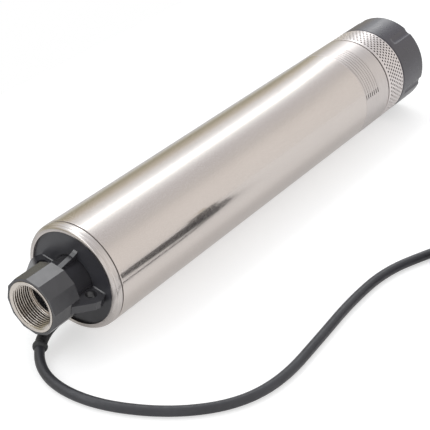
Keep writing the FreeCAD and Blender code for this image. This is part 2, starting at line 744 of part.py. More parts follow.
def rib_pads(body, name, low, high, inner, outer, thickness, count):
    """Flat radial ribs between two stations and two radii."""
    sketch = outline_sketch(body, name + "_outline", box_outline(low, high, inner, outer))
    first = pad(body, name, sketch, thickness, symmetric=True)
    return around(body, name + "_round", [first], count)


def make_spider():
    """Plastic spider that centres the motor in the tube and lets the water past it."""
    spider = new_body("upper_spider", "Dims.head_roll + 15")
    wall = "(%s - Dims.spider_ring)" % SNUG
    collar = "(%s + 2.4)" % CAN_CLASP
    lip_start = "(%s - 2)" % CAN_START
    turn(spider, "spider_rim", box_outline(HEAD_END, SPIDER_END, wall, SNUG))
    rib_pads(spider, "spider_rib", lip_start, SPIDER_END, collar + " - 0.4", wall + " + 0.4", "3", RIBS)
    turn(spider, "spider_collar", [
        (lip_start, CAN_RADIUS + " - 1"), (lip_start, collar), (SPIDER_END, collar),
        (SPIDER_END, CAN_CLASP), (CAN_START, CAN_CLASP), (CAN_START, CAN_RADIUS + " - 1"),
    ])


def make_motor_shell():
    """Motor can, wiring tray, capacitor and the bracket of the upper bearing."""
    can = new_body("motor_can", "Dims.head_roll")
    inner_end = "(%s + Dims.can_end)" % CAN_START
    turn(can, "can_turned", [
        (CAN_START, "0"), (CAN_START, CAN_RADIUS), (CAN_END, CAN_RADIUS),
        (CAN_END, CAN_BORE), (inner_end, CAN_BORE), (inner_end, "0"),
    ])
    entry = circle_sketch(can, "can_entry_circle", "0", "-" + GLAND_OFFSET, CABLE_HOLE, station=CAN_START)
    pocket(can, "can_entry", entry, "2 * Dims.can_end", reverse=True)
    tray = new_body("wiring_tray", "Dims.head_roll")
    turn(tray, "tray_disc", box_outline(TRAY, TRAY_FACE, "0", CAN_SNUG))
    turn(tray, "tray_rim", box_outline(inner_end, TRAY_FACE, CAN_SNUG + " - 3", CAN_SNUG))
    hole = circle_sketch(tray, "tray_hole_circle", "0", "-" + GLAND_OFFSET, CABLE_HOLE, station=inner_end)
    pocket(tray, "tray_hole", hole, "%s - %s + 1" % (TRAY_FACE, inner_end), reverse=True)
    capacitor = ring("capacitor", TRAY_FACE, TRAY_FACE + " + Dims.capacitor_length", "0",
                     "Dims.capacitor_radius", offset="-Dims.capacitor_offset")
    soften(capacitor, "capacitor_rims", capacitor.Tip, [
        (TRAY_FACE, "Dims.capacitor_radius"),
        (TRAY_FACE + " + Dims.capacitor_length", "Dims.capacitor_radius"),
    ], "1")
    bracket = new_body("upper_bracket", "Dims.head_roll")
    turn(bracket, "bracket_turned", [
        (BRACKET, "Dims.upper_shaft_radius + 1"), (BRACKET, CAN_SNUG), (BRACKET_END, CAN_SNUG),
        (BRACKET_END, CAN_SNUG + " - 4"), (BRACKET + " + 3", CAN_SNUG + " - 4"),
        (BRACKET + " + 3", "Dims.upper_bearing_radius + 3"), (BRACKET_END, "Dims.upper_bearing_radius + 3"),
        (BRACKET_END, "Dims.upper_bearing_radius"), (UPPER_BEARING, "Dims.upper_bearing_radius"),
        (UPPER_BEARING, "Dims.upper_shaft_radius + 1"),
    ])
    for name, angle, end in LEADS[:2]:
        across, up = lead_place(angle)
        hole = circle_sketch(bracket, name + "_hole_circle", across, up, "Dims.lead_radius + 0.3",
                             station=BRACKET)
        pocket(bracket, name + "_hole", hole, "Dims.bracket_length + 1", reverse=True)
    make_bearing("upper_bearing", UPPER_BEARING, BRACKET_END, "Dims.upper_shaft_radius",
                 "Dims.upper_bearing_radius")


def make_bearing(label, low, high, shaft, outer):
    """Deep-groove ball bearing: two races and the balls in their cage."""
    middle = "(%s + %s) / 2" % (low, high)
    pitch = "(%s + %s) / 2" % (shaft, outer)
    ball = "(%s - %s) * 0.27" % (outer, shaft)
    groove = "(%s + 0.15)" % ball
    inner_race = "(%s - %s * 0.62)" % (pitch, ball)
    outer_race = "(%s + %s * 0.62)" % (pitch, ball)
    for name, wall, race, side in ((label + "_inner", shaft, inner_race, -1),
                                   (label + "_outer", outer, outer_race, 1)):
        track = "%s %s (%s + Dims.ball_gap)" % (pitch, "+" if side > 0 else "-", ball)
        turned(name, [
            (low, wall), (high, wall), (high, race), (middle + " + " + groove, race),
            (middle + " + " + groove, track), (middle + " - " + groove, track),
            (middle + " - " + groove, race), (low, race),
        ])
    cage = new_body(label + "_cage")
    half = "1.28 * (%s)" % ball
    turn(cage, label + "_cage_ring", box_outline(middle + " - " + half, middle + " + " + half,
                                                 pitch + " - 0.5", pitch + " + 0.5"))
    window = circle_sketch(cage, label + "_window_circle", middle, "0", ball + " + 0.12", "XY_Plane")
    first = pocket(cage, label + "_window", window, pitch + " + 3")
    around(cage, label + "_windows", [first], BALLS)
    group = doc.addObject("Part::Compound", label + "_balls")
    group.Label = label + "_balls"
    balls = []
    for i in range(BALLS):
        sphere = doc.addObject("Part::Sphere", "%s_ball_%d" % (label, i + 1))
        sphere.setExpression("Radius", ball)
        angle = 360 * i / BALLS
        turn_to_axis(sphere, middle, "(%s) * cos(%.1f deg)" % (pitch, angle),
                     "(%s) * sin(%.1f deg)" % (pitch, angle))
        balls.append(sphere)
    group.Links = [cage] + balls


def hollow(name, station, length, inner, outer):
    """A plain sleeve: one cylinder with another cut out of it."""
    parts = []
    for end, radius in (("_solid", outer), ("_bore", inner)):
        piece = doc.addObject("Part::Cylinder", name + end)
        piece.setExpression("Radius", radius)
        piece.setExpression("Height", length)
        turn_to_axis(piece, station, "0", "0")
        parts.append(piece)
    sleeve = doc.addObject("Part::Cut", name)
    sleeve.Base, sleeve.Tool = parts
    return sleeve


def turn_to_axis(piece, station, across, up):
    """Turns a primitive's own axis along the pump and sets its place about the axis."""
    piece.Placement = FreeCAD.Placement(FreeCAD.Vector(), FreeCAD.Rotation(FreeCAD.Vector(0, 1, 0), 90))
    piece.setExpression("Placement.Base.x", "%s - %s / 2" % (station, OVERALL))
    piece.setExpression("Placement.Base.y", across)
    piece.setExpression("Placement.Base.z", "Dims.tube_radius + %s" % up)


def make_stator():
    """Slotted stator core and the windings that fill its slots."""
    slot_low = "(%s + 2.6)" % STATOR_BORE
    slot_high = "(%s - 3.5)" % CAN_SNUG
    core = new_body("stator_core")
    turn(core, "core_turned", box_outline(CORE_START, CORE_END, STATOR_BORE, CAN_SNUG))
    outline = [("-3.2", slot_low), ("3.2", slot_low), ("3.2", slot_high), ("-3.2", slot_high)]
    shape = outline_sketch(core, "slot_outline", outline, "YZ_Plane", station=CORE_START)
    first = pocket(core, "winding_slot", shape, "Dims.core_length", reverse=True)
    around(core, "winding_slots", [first], WINDING_SLOTS)
    coils = new_body("stator_windings")
    inner = slot_low + " + 0.2"
    outer = slot_high + " - 0.2"
    end = turn(coils, "end_turns", box_outline(WINDING_START, CORE_START, inner, outer))
    soften(coils, "end_turn_rounds", end, [(WINDING_START, inner), (WINDING_START, outer)], "2")
    outline = [("-3", inner), ("3", inner), ("3", outer), ("-3", outer)]
    shape = outline_sketch(coils, "bar_outline", outline, "YZ_Plane", station=CORE_START)
    bar = pad(coils, "winding_bar", shape, "Dims.core_length + 0.5")
    around(coils, "winding_bars", [bar], WINDING_SLOTS)
    turn(coils, "far_end_turns", box_outline(CORE_END, WINDING_END, inner, outer))


def make_rotor():
    """Rotor core, its end rings and the stepped shaft."""
    ring("rotor_core", CORE_START, CORE_END, "Dims.rotor_shaft_radius", ROTOR_RADIUS)
    rings = doc.addObject("Part::Compound", "rotor_end_rings")
    rings.Label = "rotor_end_rings"
    pair = []
    for name, station in (("near_cage_ring", CORE_START + " - Dims.cage_ring_length"),
                          ("far_cage_ring", CORE_END)):
        pair.append(hollow(name, station, "Dims.cage_ring_length", ROTOR_RADIUS + " - 10",
                           ROTOR_RADIUS + " - 0.7"))
    rings.Links = pair
    upper = "(%s - 0.5)" % UPPER_BEARING
    body_start = BRACKET_END
    body_end = "(%s - 2)" % FLANGE_START
    turned("shaft", [
        (upper, "0"), (upper, "Dims.upper_shaft_radius"), (body_start, "Dims.upper_shaft_radius"),
        (body_start, "Dims.rotor_shaft_radius"), (body_end, "Dims.rotor_shaft_radius"),
        (body_end, "Dims.seal_shaft_radius"), (SEAL_END, "Dims.seal_shaft_radius"),
        (SEAL_END, "Dims.pump_shaft_radius"),
        (NUT_START + " + Dims.nut_length + 2", "Dims.pump_shaft_radius"),
        (NUT_START + " + Dims.nut_length + 2", "0"),
    ])


def make_motor_foot():
    """Flange that closes the motor, its bearing, oil chamber and shaft seals."""
    chamber_end = "(%s + Dims.oil_chamber_length)" % LOWER_BEARING_END
    hole = "(Dims.seal_shaft_radius + 0.6)"
    pocket_radius = "Dims.lower_bearing_radius"
    seat = "(Dims.seal_seat_radius + Dims.seat_gap)"
    turned("motor_flange", [
        (FLANGE_START, pocket_radius), (FLANGE_START, CAN_SNUG), (CAN_END, CAN_SNUG),
        (CAN_END, CAN_RADIUS), (FLANGE_END, CAN_RADIUS), (FLANGE_END, seat),
        (SEAL_SEAT, seat), (SEAL_SEAT, hole), (chamber_end, hole), (chamber_end, "Dims.oil_chamber_radius"),
        (LOWER_BEARING_END + " + 4", "Dims.oil_chamber_radius"),
        (LOWER_BEARING_END + " + 4", pocket_radius + " - 1"),
        (LOWER_BEARING_END, pocket_radius + " - 1"), (LOWER_BEARING_END, pocket_radius),
    ])
    make_bearing("lower_bearing", FLANGE_START, LOWER_BEARING_END, "Dims.seal_shaft_radius",
                 "Dims.lower_bearing_radius")
    shaft = "(Dims.seal_shaft_radius + Dims.running_gap)"
    ring("oil_seal", LOWER_BEARING_END, LOWER_BEARING_END + " + 4", shaft, pocket_radius + " - 1.1")
    ring("seal_seat", SEAL_SEAT, FLANGE_END, hole, "Dims.seal_seat_radius")
    ring("seal_ring", SEAL_RING, SEAL_BELLOWS, "Dims.seal_shaft_radius", "Dims.seal_seat_radius - 0.5")
    bellows = "Dims.seal_seat_radius - 1"
    third = "Dims.seal_bellows_length / 3"
    turned("seal_bellows", [
        (SEAL_BELLOWS, "Dims.seal_shaft_radius"), (SEAL_BELLOWS, bellows),
        (SEAL_BELLOWS + " + " + third, bellows), (SEAL_BELLOWS + " + " + third, bellows + " - 1.5"),
        (SEAL_BELLOWS + " + 2 * " + third, bellows + " - 1.5"), (SEAL_BELLOWS + " + 2 * " + third, bellows),
        (SEAL_END, bellows), (SEAL_END, "Dims.seal_shaft_radius"),
    ])


def make_lantern():
    """Lantern between the motor and the stages, with windows to the water jacket."""
    lantern = new_body("pump_lantern", "Dims.head_roll + 15")
    wall = "(%s - Dims.spider_ring)" % SNUG
    collar = "(%s + 2.4)" % CAN_CLASP
    lip_end = "(%s + 2)" % FLANGE_END
    plate = "(%s - Dims.lantern_plate)" % STACK_START
    turn(lantern, "lantern_rim", [
        (LANTERN_START, wall), (LANTERN_START, SNUG), (STACK_START, SNUG),
        (STACK_START, "Dims.eye_neck_radius"), (plate, "Dims.eye_neck_radius"), (plate, wall),
    ])
    rib_pads(lantern, "lantern_rib", LANTERN_START, lip_end, collar + " - 0.4", wall + " + 0.4", "3", RIBS)
    turn(lantern, "lantern_collar", [
        (LANTERN_START, CAN_CLASP), (LANTERN_START, collar), (lip_end, collar),
        (lip_end, CAN_RADIUS + " - 6"), (FLANGE_END, CAN_RADIUS + " - 6"), (FLANGE_END, CAN_CLASP),
    ])


def make_stages():
    """Stage casings with return vanes, impellers and the spacers on the shaft."""
    for i in range(STAGES):
        start = "(%s + %d * Dims.stage_pitch)" % (STACK_START, i)
        make_casing("stage_casing_%d" % (i + 1), start)
        make_impeller("impeller_%d" % (i + 1), "(%s + Dims.impeller_setback)" % start)
    make_spacers()


def make_casing(label, start):
    """One stage: shell, suction wall, and a diffuser plate carried by return vanes."""
    casing = new_body(label)
    end = "(%s + Dims.stage_pitch)" % start
    plate = "(%s + 5)" % start
    turn(casing, label + "_shell", [
        (start, STAGE_BORE), (start, SNUG), (end, SNUG), (end, "Dims.eye_neck_radius + Dims.eye_gap"),
        (end + " - Dims.stage_plate", "Dims.eye_neck_radius + Dims.eye_gap"),
        (end + " - Dims.stage_plate", STAGE_BORE),
    ])
    rib_pads(casing, label + "_vane", start + " + 0.2", plate, "Dims.spacer_radius + 6",
             STAGE_BORE + " + 0.4", "Dims.vane", DIFFUSER_VANES)
    turn(casing, label + "_plate", box_outline(
        plate, plate + " + 2", "Dims.spacer_radius + Dims.eye_gap", IMPELLER_RADIUS + " + 3"))


def make_impeller(label, start):
    """Closed impeller: hub and back shroud, vanes, front shroud with its eye."""
    impeller = new_body(label)
    end = "(%s + Dims.impeller_width)" % start
    front = "(%s - Dims.shroud)" % end
    hub_end = "(%s - 1)" % end
    eye = "(Dims.eye_neck_radius - 2)"
    turn(impeller, label + "_hub", [
        (start, SPACER_BORE), (start, IMPELLER_RADIUS), (start + " + Dims.shroud", IMPELLER_RADIUS),
        (start + " + Dims.shroud", "Dims.spacer_radius + 2"), (hub_end, "Dims.spacer_radius + 1.5"),
        (hub_end, SPACER_BORE),
    ])
    rib_pads(impeller, label + "_vane", start + " + Dims.shroud - 0.3", front + " + 0.3",
             eye + " + 1", IMPELLER_RADIUS + " - 0.2", "Dims.vane", IMPELLER_VANES)
    turn(impeller, label + "_shroud", [
        (front, eye), (front, IMPELLER_RADIUS), (end, IMPELLER_RADIUS),
        (end, "Dims.eye_neck_radius"), (end + " + 4.5", "Dims.eye_neck_radius"), (end + " + 4.5", eye),
    ])


def make_spacers():
    """Sleeves that hold the impellers apart along the shaft."""
    hub_end = "Dims.impeller_setback + Dims.impeller_width - 1"
    stops = [(SEAL_END, "%s + Dims.impeller_setback" % STACK_START)]
    for i in range(STAGES - 1):
        low = "%s + %d * Dims.stage_pitch + %s" % (STACK_START, i, hub_end)
        high = "%s + %d * Dims.stage_pitch + Dims.impeller_setback" % (STACK_START, i + 1)
        stops.append((low, high))
    stops.append(("%s + %d * Dims.stage_pitch + %s" % (STACK_START, STAGES - 1, hub_end), NUT_START))
    sleeves = []
    for i, (low, high) in enumerate(stops, 1):
        sleeves.append(hollow("spacer_%d" % i, "(%s)" % low, "%s - (%s)" % (high, low), SPACER_BORE,
                              "Dims.spacer_radius"))
    group = doc.addObject("Part::Compound", "shaft_spacers")
    group.Label = "shaft_spacers"
    group.Links = sleeves


def make_inlet():
    """Inlet casing with its open arms, the bush at the shaft's end and the shaft nut."""
    inlet = new_body("inlet_casing")
    turn(inlet, "inlet_rim", box_outline(STACK_END, INLET_END, STAGE_BORE, SNUG))
    rib_pads(inlet, "inlet_arm", HUB_START, HUB_END, "Dims.inlet_hub_radius - 1", STAGE_BORE + " + 0.4",
             "4", INLET_ARMS)
    turn(inlet, "inlet_hub", box_outline(HUB_START, HUB_END, "Dims.bush_radius", "Dims.inlet_hub_radius"))
    ring("shaft_bush", HUB_START, HUB_END, "Dims.spacer_radius + Dims.running_gap",
         "Dims.bush_radius - Dims.race_gap")
    nut = new_body("shaft_nut")
    prism = nut.newObject("PartDesign::AdditivePrism", "nut_prism")
    prism.AttachmentSupport = [(plane_of(nut, "YZ_Plane"), "")]
    prism.MapMode = "FlatFace"
    prism.setExpression("AttachmentOffset.Base.z", NUT_START)
    prism.Polygon = 6
    prism.setExpression("Circumradius", "Dims.nut_radius")
    prism.setExpression("Height", "Dims.nut_length")
    nut.Tip = prism
    bore = circle_sketch(nut, "nut_bore_circle", "0", "0", SPACER_BORE, station=NUT_START)
    pocket(nut, "nut_bore", bore, "Dims.nut_length + 1", reverse=True)


def make_cap_end():
    """Spigot with its windows, strainer ring, end cap with grip flutes and the cap's seal."""
    spigot = new_body("cap_spigot")
    seat_start = "(%s - Dims.spigot_seat)" % SLEEVE_END
    bore = "(%s - Dims.spigot_wall)" % SPIGOT_RADIUS
    turn(spigot, "spigot_turned", [
        (seat_start, bore), (seat_start, SNUG), (SLEEVE_END, SNUG), (SLEEVE_END, SPIGOT_RADIUS),
        (SPIGOT_END, SPIGOT_RADIUS), (SPIGOT_END, bore),
    ])
    window_start = "(%s + 4)" % STRAINER_START
    window_end = "(%s - 4)" % CAP_START
    window_outline = box_outline(window_start, window_end, bore + " - 1", SPIGOT_RADIUS + " + 1")
    window = turn(spigot, "window", window_outline, "28", cut=True)
    around(spigot, "windows", [window], SPIGOT_WINDOWS)
    groove = "(%s + Dims.spigot_reach / 2)" % CAP_START
    half = "1.2 * Dims.o_ring_section"
    turn(spigot, "cap_ring_groove", box_outline(
        groove + " - " + half, groove + " + " + half,
        SPIGOT_RADIUS + " - 2 * Dims.o_ring_section + 0.1", SPIGOT_RADIUS + " + 1"), cut=True)
    o_ring("cap_o_ring", groove, CAP_BORE + " - 0.1 - Dims.o_ring_section",
           "Dims.o_ring_section")
    wall = "1.1"
    outer = "Dims.tube_radius"
    inner = "%s - %s" % (outer, wall)
    strainer = turned("strainer_ring", [
        (STRAINER_START, STRAINER_HOLE), (STRAINER_START, outer), (CAP_START, outer),
        (CAP_START, STRAINER_HOLE), (CAP_START + " - " + wall, STRAINER_HOLE),
        (CAP_START + " - " + wall, inner),
        (STRAINER_START + " + " + wall, inner), (STRAINER_START + " + " + wall, STRAINER_HOLE),
    ])
    soften(strainer, "strainer_rims", strainer.Tip, [(STRAINER_START, outer)], "Dims.seam_chamfer")
    make_cap(outer)


def make_cap(outer):
    """End cap, a fluted cup that screws over the spigot."""
    cap = new_body("end_cap", "Dims.cap_roll")
    inner_end = "(%s - Dims.cap_end_wall)" % OVERALL
    profile = turn(cap, "cap_turned", [
        (CAP_START, CAP_BORE), (CAP_START, outer), (OVERALL, outer), (OVERALL, "0"),
        (inner_end, "0"), (inner_end, CAP_BORE),
    ])
    soften(cap, "cap_rim", profile, [(OVERALL, outer)], "Dims.cap_round")
    half = "Dims.flute_half_width"
    flute = outline_sketch(cap, "flute_outline", [
        ("-" + half, outer + " + 0.5"), ("-" + half + " * 0.45", outer + " - Dims.flute_depth"),
        (half + " * 0.15", outer + " - Dims.flute_depth"), (half, outer + " + 0.5"),
    ], "YZ_Plane", station=OVERALL + " + 1")
    first = pocket(cap, "flute", flute, "Dims.flute_length + 1")
    around(cap, "flutes", [first], FLUTES)


# Route of the free cable: from the gland down to the ground, round in front of the pump and away to
# the coil of its spare length
ROUTE = [
    (-285.8, -1.5, 9.8), (-304.5, -21.9, 4.4), (-311.9, -54.6, 4.4), (-304.5, -93.8, 4.4),
    (-279.4, -138.8, 4.4), (-243.1, -171.3, 4.4), (-198.4, -183.8, 4.4), (-137.0, -179.6, 4.4),
    (-76.7, -174.6, 4.4), (-19.9, -176.8, 4.4), (30.0, -196.4, 4.4),
]
FIRST_RUN = 21.5
LAST_RUN = 33.0
COIL_ENTRY = (106.3, -238.8, 6.0)
ENTRY_HEADING = -31.0
TAIL_TURN = 120.0
TIE_TURN = -10.0


def straight_and_round(points):
    """Straight runs joined by tangent arcs, each as large as its two runs allow."""
    corners = [FreeCAD.Vector(*point) for point in points]
    edges = []
    place = corners[0]
    radii = []
    for before, corner, after in zip(corners, corners[1:], corners[2:]):
        inward = corner - before
        outward = after - corner
        half = inward.getAngle(outward) / 2
        trim = 0.45 * min(inward.Length, outward.Length)
        radii.append(trim / math.tan(half))
        inward.normalize()
        outward.normalize()
        enter = corner - inward * trim
        leave = corner + outward * trim
        edges.append(Part.LineSegment(place, enter).toShape())
        edges.append(Part.Arc(enter, arc_middle(enter, inward, leave), leave).toShape())
        place = leave
    edges.append(Part.LineSegment(place, corners[-1]).toShape())
    print("cable radii", ", ".join("%.0f" % radius for radius in radii))
    return Part.Wire(edges)


def at_length(wire, distance):
    """Place and heading at a distance along a route."""
    for edge in wire.OrderedEdges:
        if distance <= edge.Length + 1e-9:
            parameter = edge.getParameterByLength(min(distance, edge.Length))
            return edge.valueAt(parameter), edge.tangentAt(parameter)
        distance -= edge.Length
    raise ValueError("the route is shorter than that")


def make_cable():
    """Free stretch of the cable, its strain relief, the coil, its tie and the plug."""
    roll = math.radians(number("Dims.head_roll"))
    offset = number(GLAND_OFFSET)
    height = number("Dims.tube_radius")
    face = number(HEAD_FACE) - number(OVERALL) / 2
    gland = FreeCAD.Vector(face, offset * math.sin(roll), height - offset * math.cos(roll))
    radius = number("Dims.cable_radius")
    way = math.radians(ENTRY_HEADING)
    onward = FreeCAD.Vector(math.cos(way), math.sin(way), 0)
    join = FreeCAD.Vector(*COIL_ENTRY) - onward * (2 * radius)
    level = gland - FreeCAD.Vector(FIRST_RUN, 0, 0)
    points = [gland, level] + ROUTE + [join - onward * LAST_RUN, join]
    path = straight_and_round(points)
    stretch = tube_along(path, radius)
    print("cable stretch: length %.1f mm, volume over section times length %.5f" % (
        path.Length, stretch.Volume / (math.pi * radius ** 2 * path.Length)))
    solid_feature("power_cable", stretch)
    make_relief(path, face)
    make_coil(path.Length)


def make_relief(path, face):
    """Tapered rubber sleeve with a bead at its end, bent with the cable inside it."""
    root = number("Dims.relief_root_radius")
    tip = number("Dims.relief_tip_radius")
    bead = number("Dims.relief_bead_radius")
    length = number("Dims.relief_length")
    bead_length = number("Dims.relief_bead_length")
    neck = length - bead_length
    stations = [(0.0, root), (length * 0.25, root - (root - tip) * 0.4),
                (length * 0.5, root - (root - tip) * 0.7),
                (length * 0.75, tip + 0.15), (neck - 1.2, tip), (neck + 0.6, bead - 0.4),
                (neck + 1.8, bead), (neck + 3.4, bead), (length - 0.5, bead - 0.7), (length, bead - 1.4)]
    sections = []
    for distance, radius in stations:
        place, heading = at_length(path, distance)
        sections.append(Part.Wire(Part.makeCircle(radius, place, heading)))
    sleeve = Part.makeLoft(sections, True, True)
    start, heading = at_length(path, 0.0)
    depth = number("Dims.gland_socket_depth")
    root_plug = Part.makeCylinder(root, depth, start, heading * -1)
    bore = tube_along(path, number(CABLE_HOLE))
    tail_bore = Part.makeCylinder(number(CABLE_HOLE), depth + 1, start, heading * -1)
    solid_feature("cable_relief", sleeve.fuse(root_plug).cut(bore).cut(tail_bore))


def coil_route():
    """Place along the coil as a function of the quarter turn, and its number of quarters."""
    pitch = number("Dims.coil_pitch")
    spread = pitch * QUARTERS_PER_LAYER / 4
    outer = number("Dims.coil_turn_radius") + spread / 2
    entry = FreeCAD.Vector(*COIL_ENTRY)
    lean = math.atan(pitch / (2 * math.pi * outer))
    first_angle = math.radians(90 + ENTRY_HEADING) + lean
    centre = entry - FreeCAD.Vector(math.cos(first_angle), math.sin(first_angle), 0) * outer
    centre.z = 0
    base = number("Dims.coil_lift") + number("Dims.cable_radius")
    period = QUARTERS_PER_LAYER + 2
    total = COIL_LAYERS * QUARTERS_PER_LAYER + 2 * (COIL_LAYERS - 1)

    def place(i):
        layer = min(int(max(i, 0) // period), COIL_LAYERS - 1)
        step = i - layer * period
        inward = layer % 2 == 0
        if step <= QUARTERS_PER_LAYER:
            travelled = pitch * step / 4
            climb = 0
        else:
            over = step - QUARTERS_PER_LAYER
            travelled = pitch * (QUARTERS_PER_LAYER + over - over * over / 2) / 4
            climb = (1 - math.cos(math.pi * over / 2)) / 2
        radius = outer - travelled if inward else outer - spread + travelled
        angle = first_angle - i * math.pi / 2
        return centre + FreeCAD.Vector(radius * math.cos(angle), radius * math.sin(angle),
                                       base + pitch * (layer + climb))
    return place, total, centre, outer, spread, first_angle


def make_coil(stretch_length):
    """Spare cable wound in layers that spiral in and out, ending in a rise to the plug."""
    place, total, centre, outer, spread, first_angle = coil_route()
    radius = number("Dims.cable_radius")
    pitch = number("Dims.coil_pitch")
    top = number("Dims.coil_lift") + radius * 2 + pitch * (COIL_LAYERS - 1)
    entry_height = top + 0.3 + number("Dims.plug_entry_height")
    rise = entry_height - (top - radius)
    quarters = 2
    start_angle = first_angle - total * math.pi / 2

    def tail(i):
        share = i / quarters
        eased = (1 - math.cos(math.pi * share)) / 2
        angle = start_angle - math.radians(TAIL_TURN) * share
        reach = outer - spread / 2 * eased
        return centre + FreeCAD.Vector(reach * math.cos(angle), reach * math.sin(angle),
                                       top - radius + rise * eased)

    spiral = winding(place, flat_start(heading_of(place), total), total)
    climb = winding(tail, flat_start(heading_of(tail), quarters), quarters)
    heading = flat_start(heading_of(tail), quarters)(quarters)
    foot = tail(quarters)
    end = foot + heading * (2 * radius + 0.05)
    entry = place(0)
    lead_in = entry - flat_start(heading_of(place), total)(0) * (2 * radius)
    path = Part.Wire([Part.LineSegment(lead_in, entry).toShape()] + spiral.OrderedEdges
                     + climb.OrderedEdges + [Part.LineSegment(foot, end - heading * 0.05).toShape()])
    coil = tube_along(path, radius)
    solid_feature("cable_coil", coil)
    print("cable coil: %d quarter turns, length %.0f mm, volume over section times length %.4f" % (
        total, path.Length, coil.Volume / (math.pi * radius ** 2 * path.Length)))
    print("cable in all %.0f mm" % (path.Length + stretch_length))
    print("cable coil: least gap to itself %.2f mm" % least_gap(place, total, 2 * radius))
    make_tie(centre, outer, spread, top)
    make_plug(end, heading, top + 0.3)


def flat_start(heading, last):
    """Headings that are level at both ends of a route and follow it between."""
    def level(i):
        way = heading(min(max(i, 0.001), last - 0.001))
        if i <= 0 or i >= last:
            way = FreeCAD.Vector(way.x, way.y, 0)
            way.normalize()
        return way
    return level


def least_gap(place, total, diameter):
    """Least distance between turns of the coil, less the cable's diameter, from points on its route."""
    steps = 12
    points = [place(i / steps) for i in range(total * steps + 1)]
    least = 1e9
    for i, one in enumerate(points):
        for other in points[i + 2 * steps:]:
            least = min(least, (one - other).Length)
    return least - diameter


def make_tie(centre, outer, spread, top):
    """Strap round the coil's turns."""
    radius = number("Dims.cable_radius")
    width = number("Dims.tie_width")
    thickness = number("Dims.tie_thickness")
    low = outer - spread - radius - 2.4
    high = outer + radius + 2.4
    block = Part.makeBox(high - low + 2 * thickness, width, top + 0.4 + thickness,
                         FreeCAD.Vector(low - thickness, -width / 2, 0))
    hollow = Part.makeBox(high - low, width + 2, top + 0.4 - thickness,
                          FreeCAD.Vector(low, -width / 2 - 1, thickness))
    strap = block.cut(hollow)
    length = number("Dims.buckle_length")
    corner = FreeCAD.Vector((low + high - length) / 2, -width / 2 - 2, top + 0.4 + thickness)
    buckle = Part.makeBox(length, width + 4, number("Dims.buckle_thickness"), corner)
    strap = strap.fuse(buckle)
    place = FreeCAD.Placement(centre, FreeCAD.Rotation(FreeCAD.Vector(0, 0, 1), TIE_TURN))
    solid_feature("coil_tie", strap, place)


def make_plug(end, heading, floor):
    """Moulded angled mains plug, back down, with its two pins upward."""
    radius = number("Dims.plug_radius")
    height = number("Dims.plug_height")
    arm = number("Dims.plug_arm_length")
    arm_radius = number("Dims.plug_arm_radius")
    middle = end + heading * (arm + radius)
    middle.z = floor
    up = FreeCAD.Vector(0, 0, 1)
    body = Part.makeCylinder(radius, height, middle, up)
    rims = [edge for edge in body.Edges if isinstance(edge.Curve, Part.Circle)]
    body = body.makeFillet(2.5, rims)
    neck = Part.makeCone(number("Dims.cable_radius") + 1.2, arm_radius, arm + 4, end, heading)
    side = heading.cross(up)
    recess = Part.makeCylinder(radius - 4, 4, middle + up * (height - 3), up)
    body = body.fuse(neck).cut(recess)
    solid_feature("plug_body", body)
    spacing = number("Dims.pin_spacing") / 2
    pins = []
    for way in (-1, 1):
        foot = middle + side * (way * spacing) + up * (height - 3)
        pin = Part.makeCylinder(number("Dims.pin_radius"), number("Dims.pin_length") + 3, foot, up)
        rim = max(pin.Edges, key=lambda edge: edge.CenterOfMass.z)
        pins.append(pin.makeFillet(1.2, [rim]))
    solid_feature("plug_pins", Part.makeCompound(pins))


def named_pieces():
    """Every piece of the pump, by the name of its file."""
    names = [
        "head_ring", "outer_tube", "intake_sleeve", "discharge_head", "head_plate", "head_o_ring",
        "thread_insert", "valve_seat", "valve_poppet", "valve_guide", "valve_spring", "gland_seal",
        "cable_relief", "cable_tail", "phase_lead", "neutral_lead", "earth_lead", "upper_spider", "motor_can",
        "wiring_tray", "capacitor", "upper_bracket", "upper_bearing_inner", "upper_bearing_outer",
        "upper_bearing_balls", "stator_core", "stator_windings", "rotor_core", "rotor_end_rings",
        "shaft", "motor_flange", "lower_bearing_inner", "lower_bearing_outer", "lower_bearing_balls",
        "oil_seal", "seal_seat", "seal_ring", "seal_bellows", "pump_lantern", "shaft_spacers",
        "inlet_casing", "shaft_bush", "shaft_nut", "cap_spigot", "cap_o_ring", "strainer_ring",
        "end_cap", "power_cable", "cable_coil", "coil_tie", "plug_body", "plug_pins",
    ]
    for i in range(1, STAGES + 1):
        names += ["stage_casing_%d" % i, "impeller_%d" % i]
    return names


make_shell()
make_head()
make_insert()
make_valve()
make_gland()
make_leads()
make_spider()
make_motor_shell()
make_stator()
make_rotor()
make_motor_foot()
make_lantern()
make_stages()
make_inlet()
make_cap_end()
make_cable()
doc.recompute()

faults = [piece.Name for piece in doc.Objects if "Invalid" in piece.State or "Error" in piece.State]
if faults:
    raise RuntimeError("failed objects: " + ", ".join(faults))
pieces = {}
for name in named_pieces():
    found = [piece for piece in doc.Objects if piece.Label == name]
    if len(found) != 1:
        raise RuntimeError("no single object is labelled " + name)
    pieces[name] = found[0]
for name, piece in pieces.items():
    if piece.Shape.isNull() or not piece.Shape.isValid() or not piece.Shape.Solids:
        raise RuntimeError(name + " has no valid solid")
for name, piece in pieces.items():
    piece.Shape.exportStep("parts/%s.step" % name)
print("%d pieces written" % len(pieces))
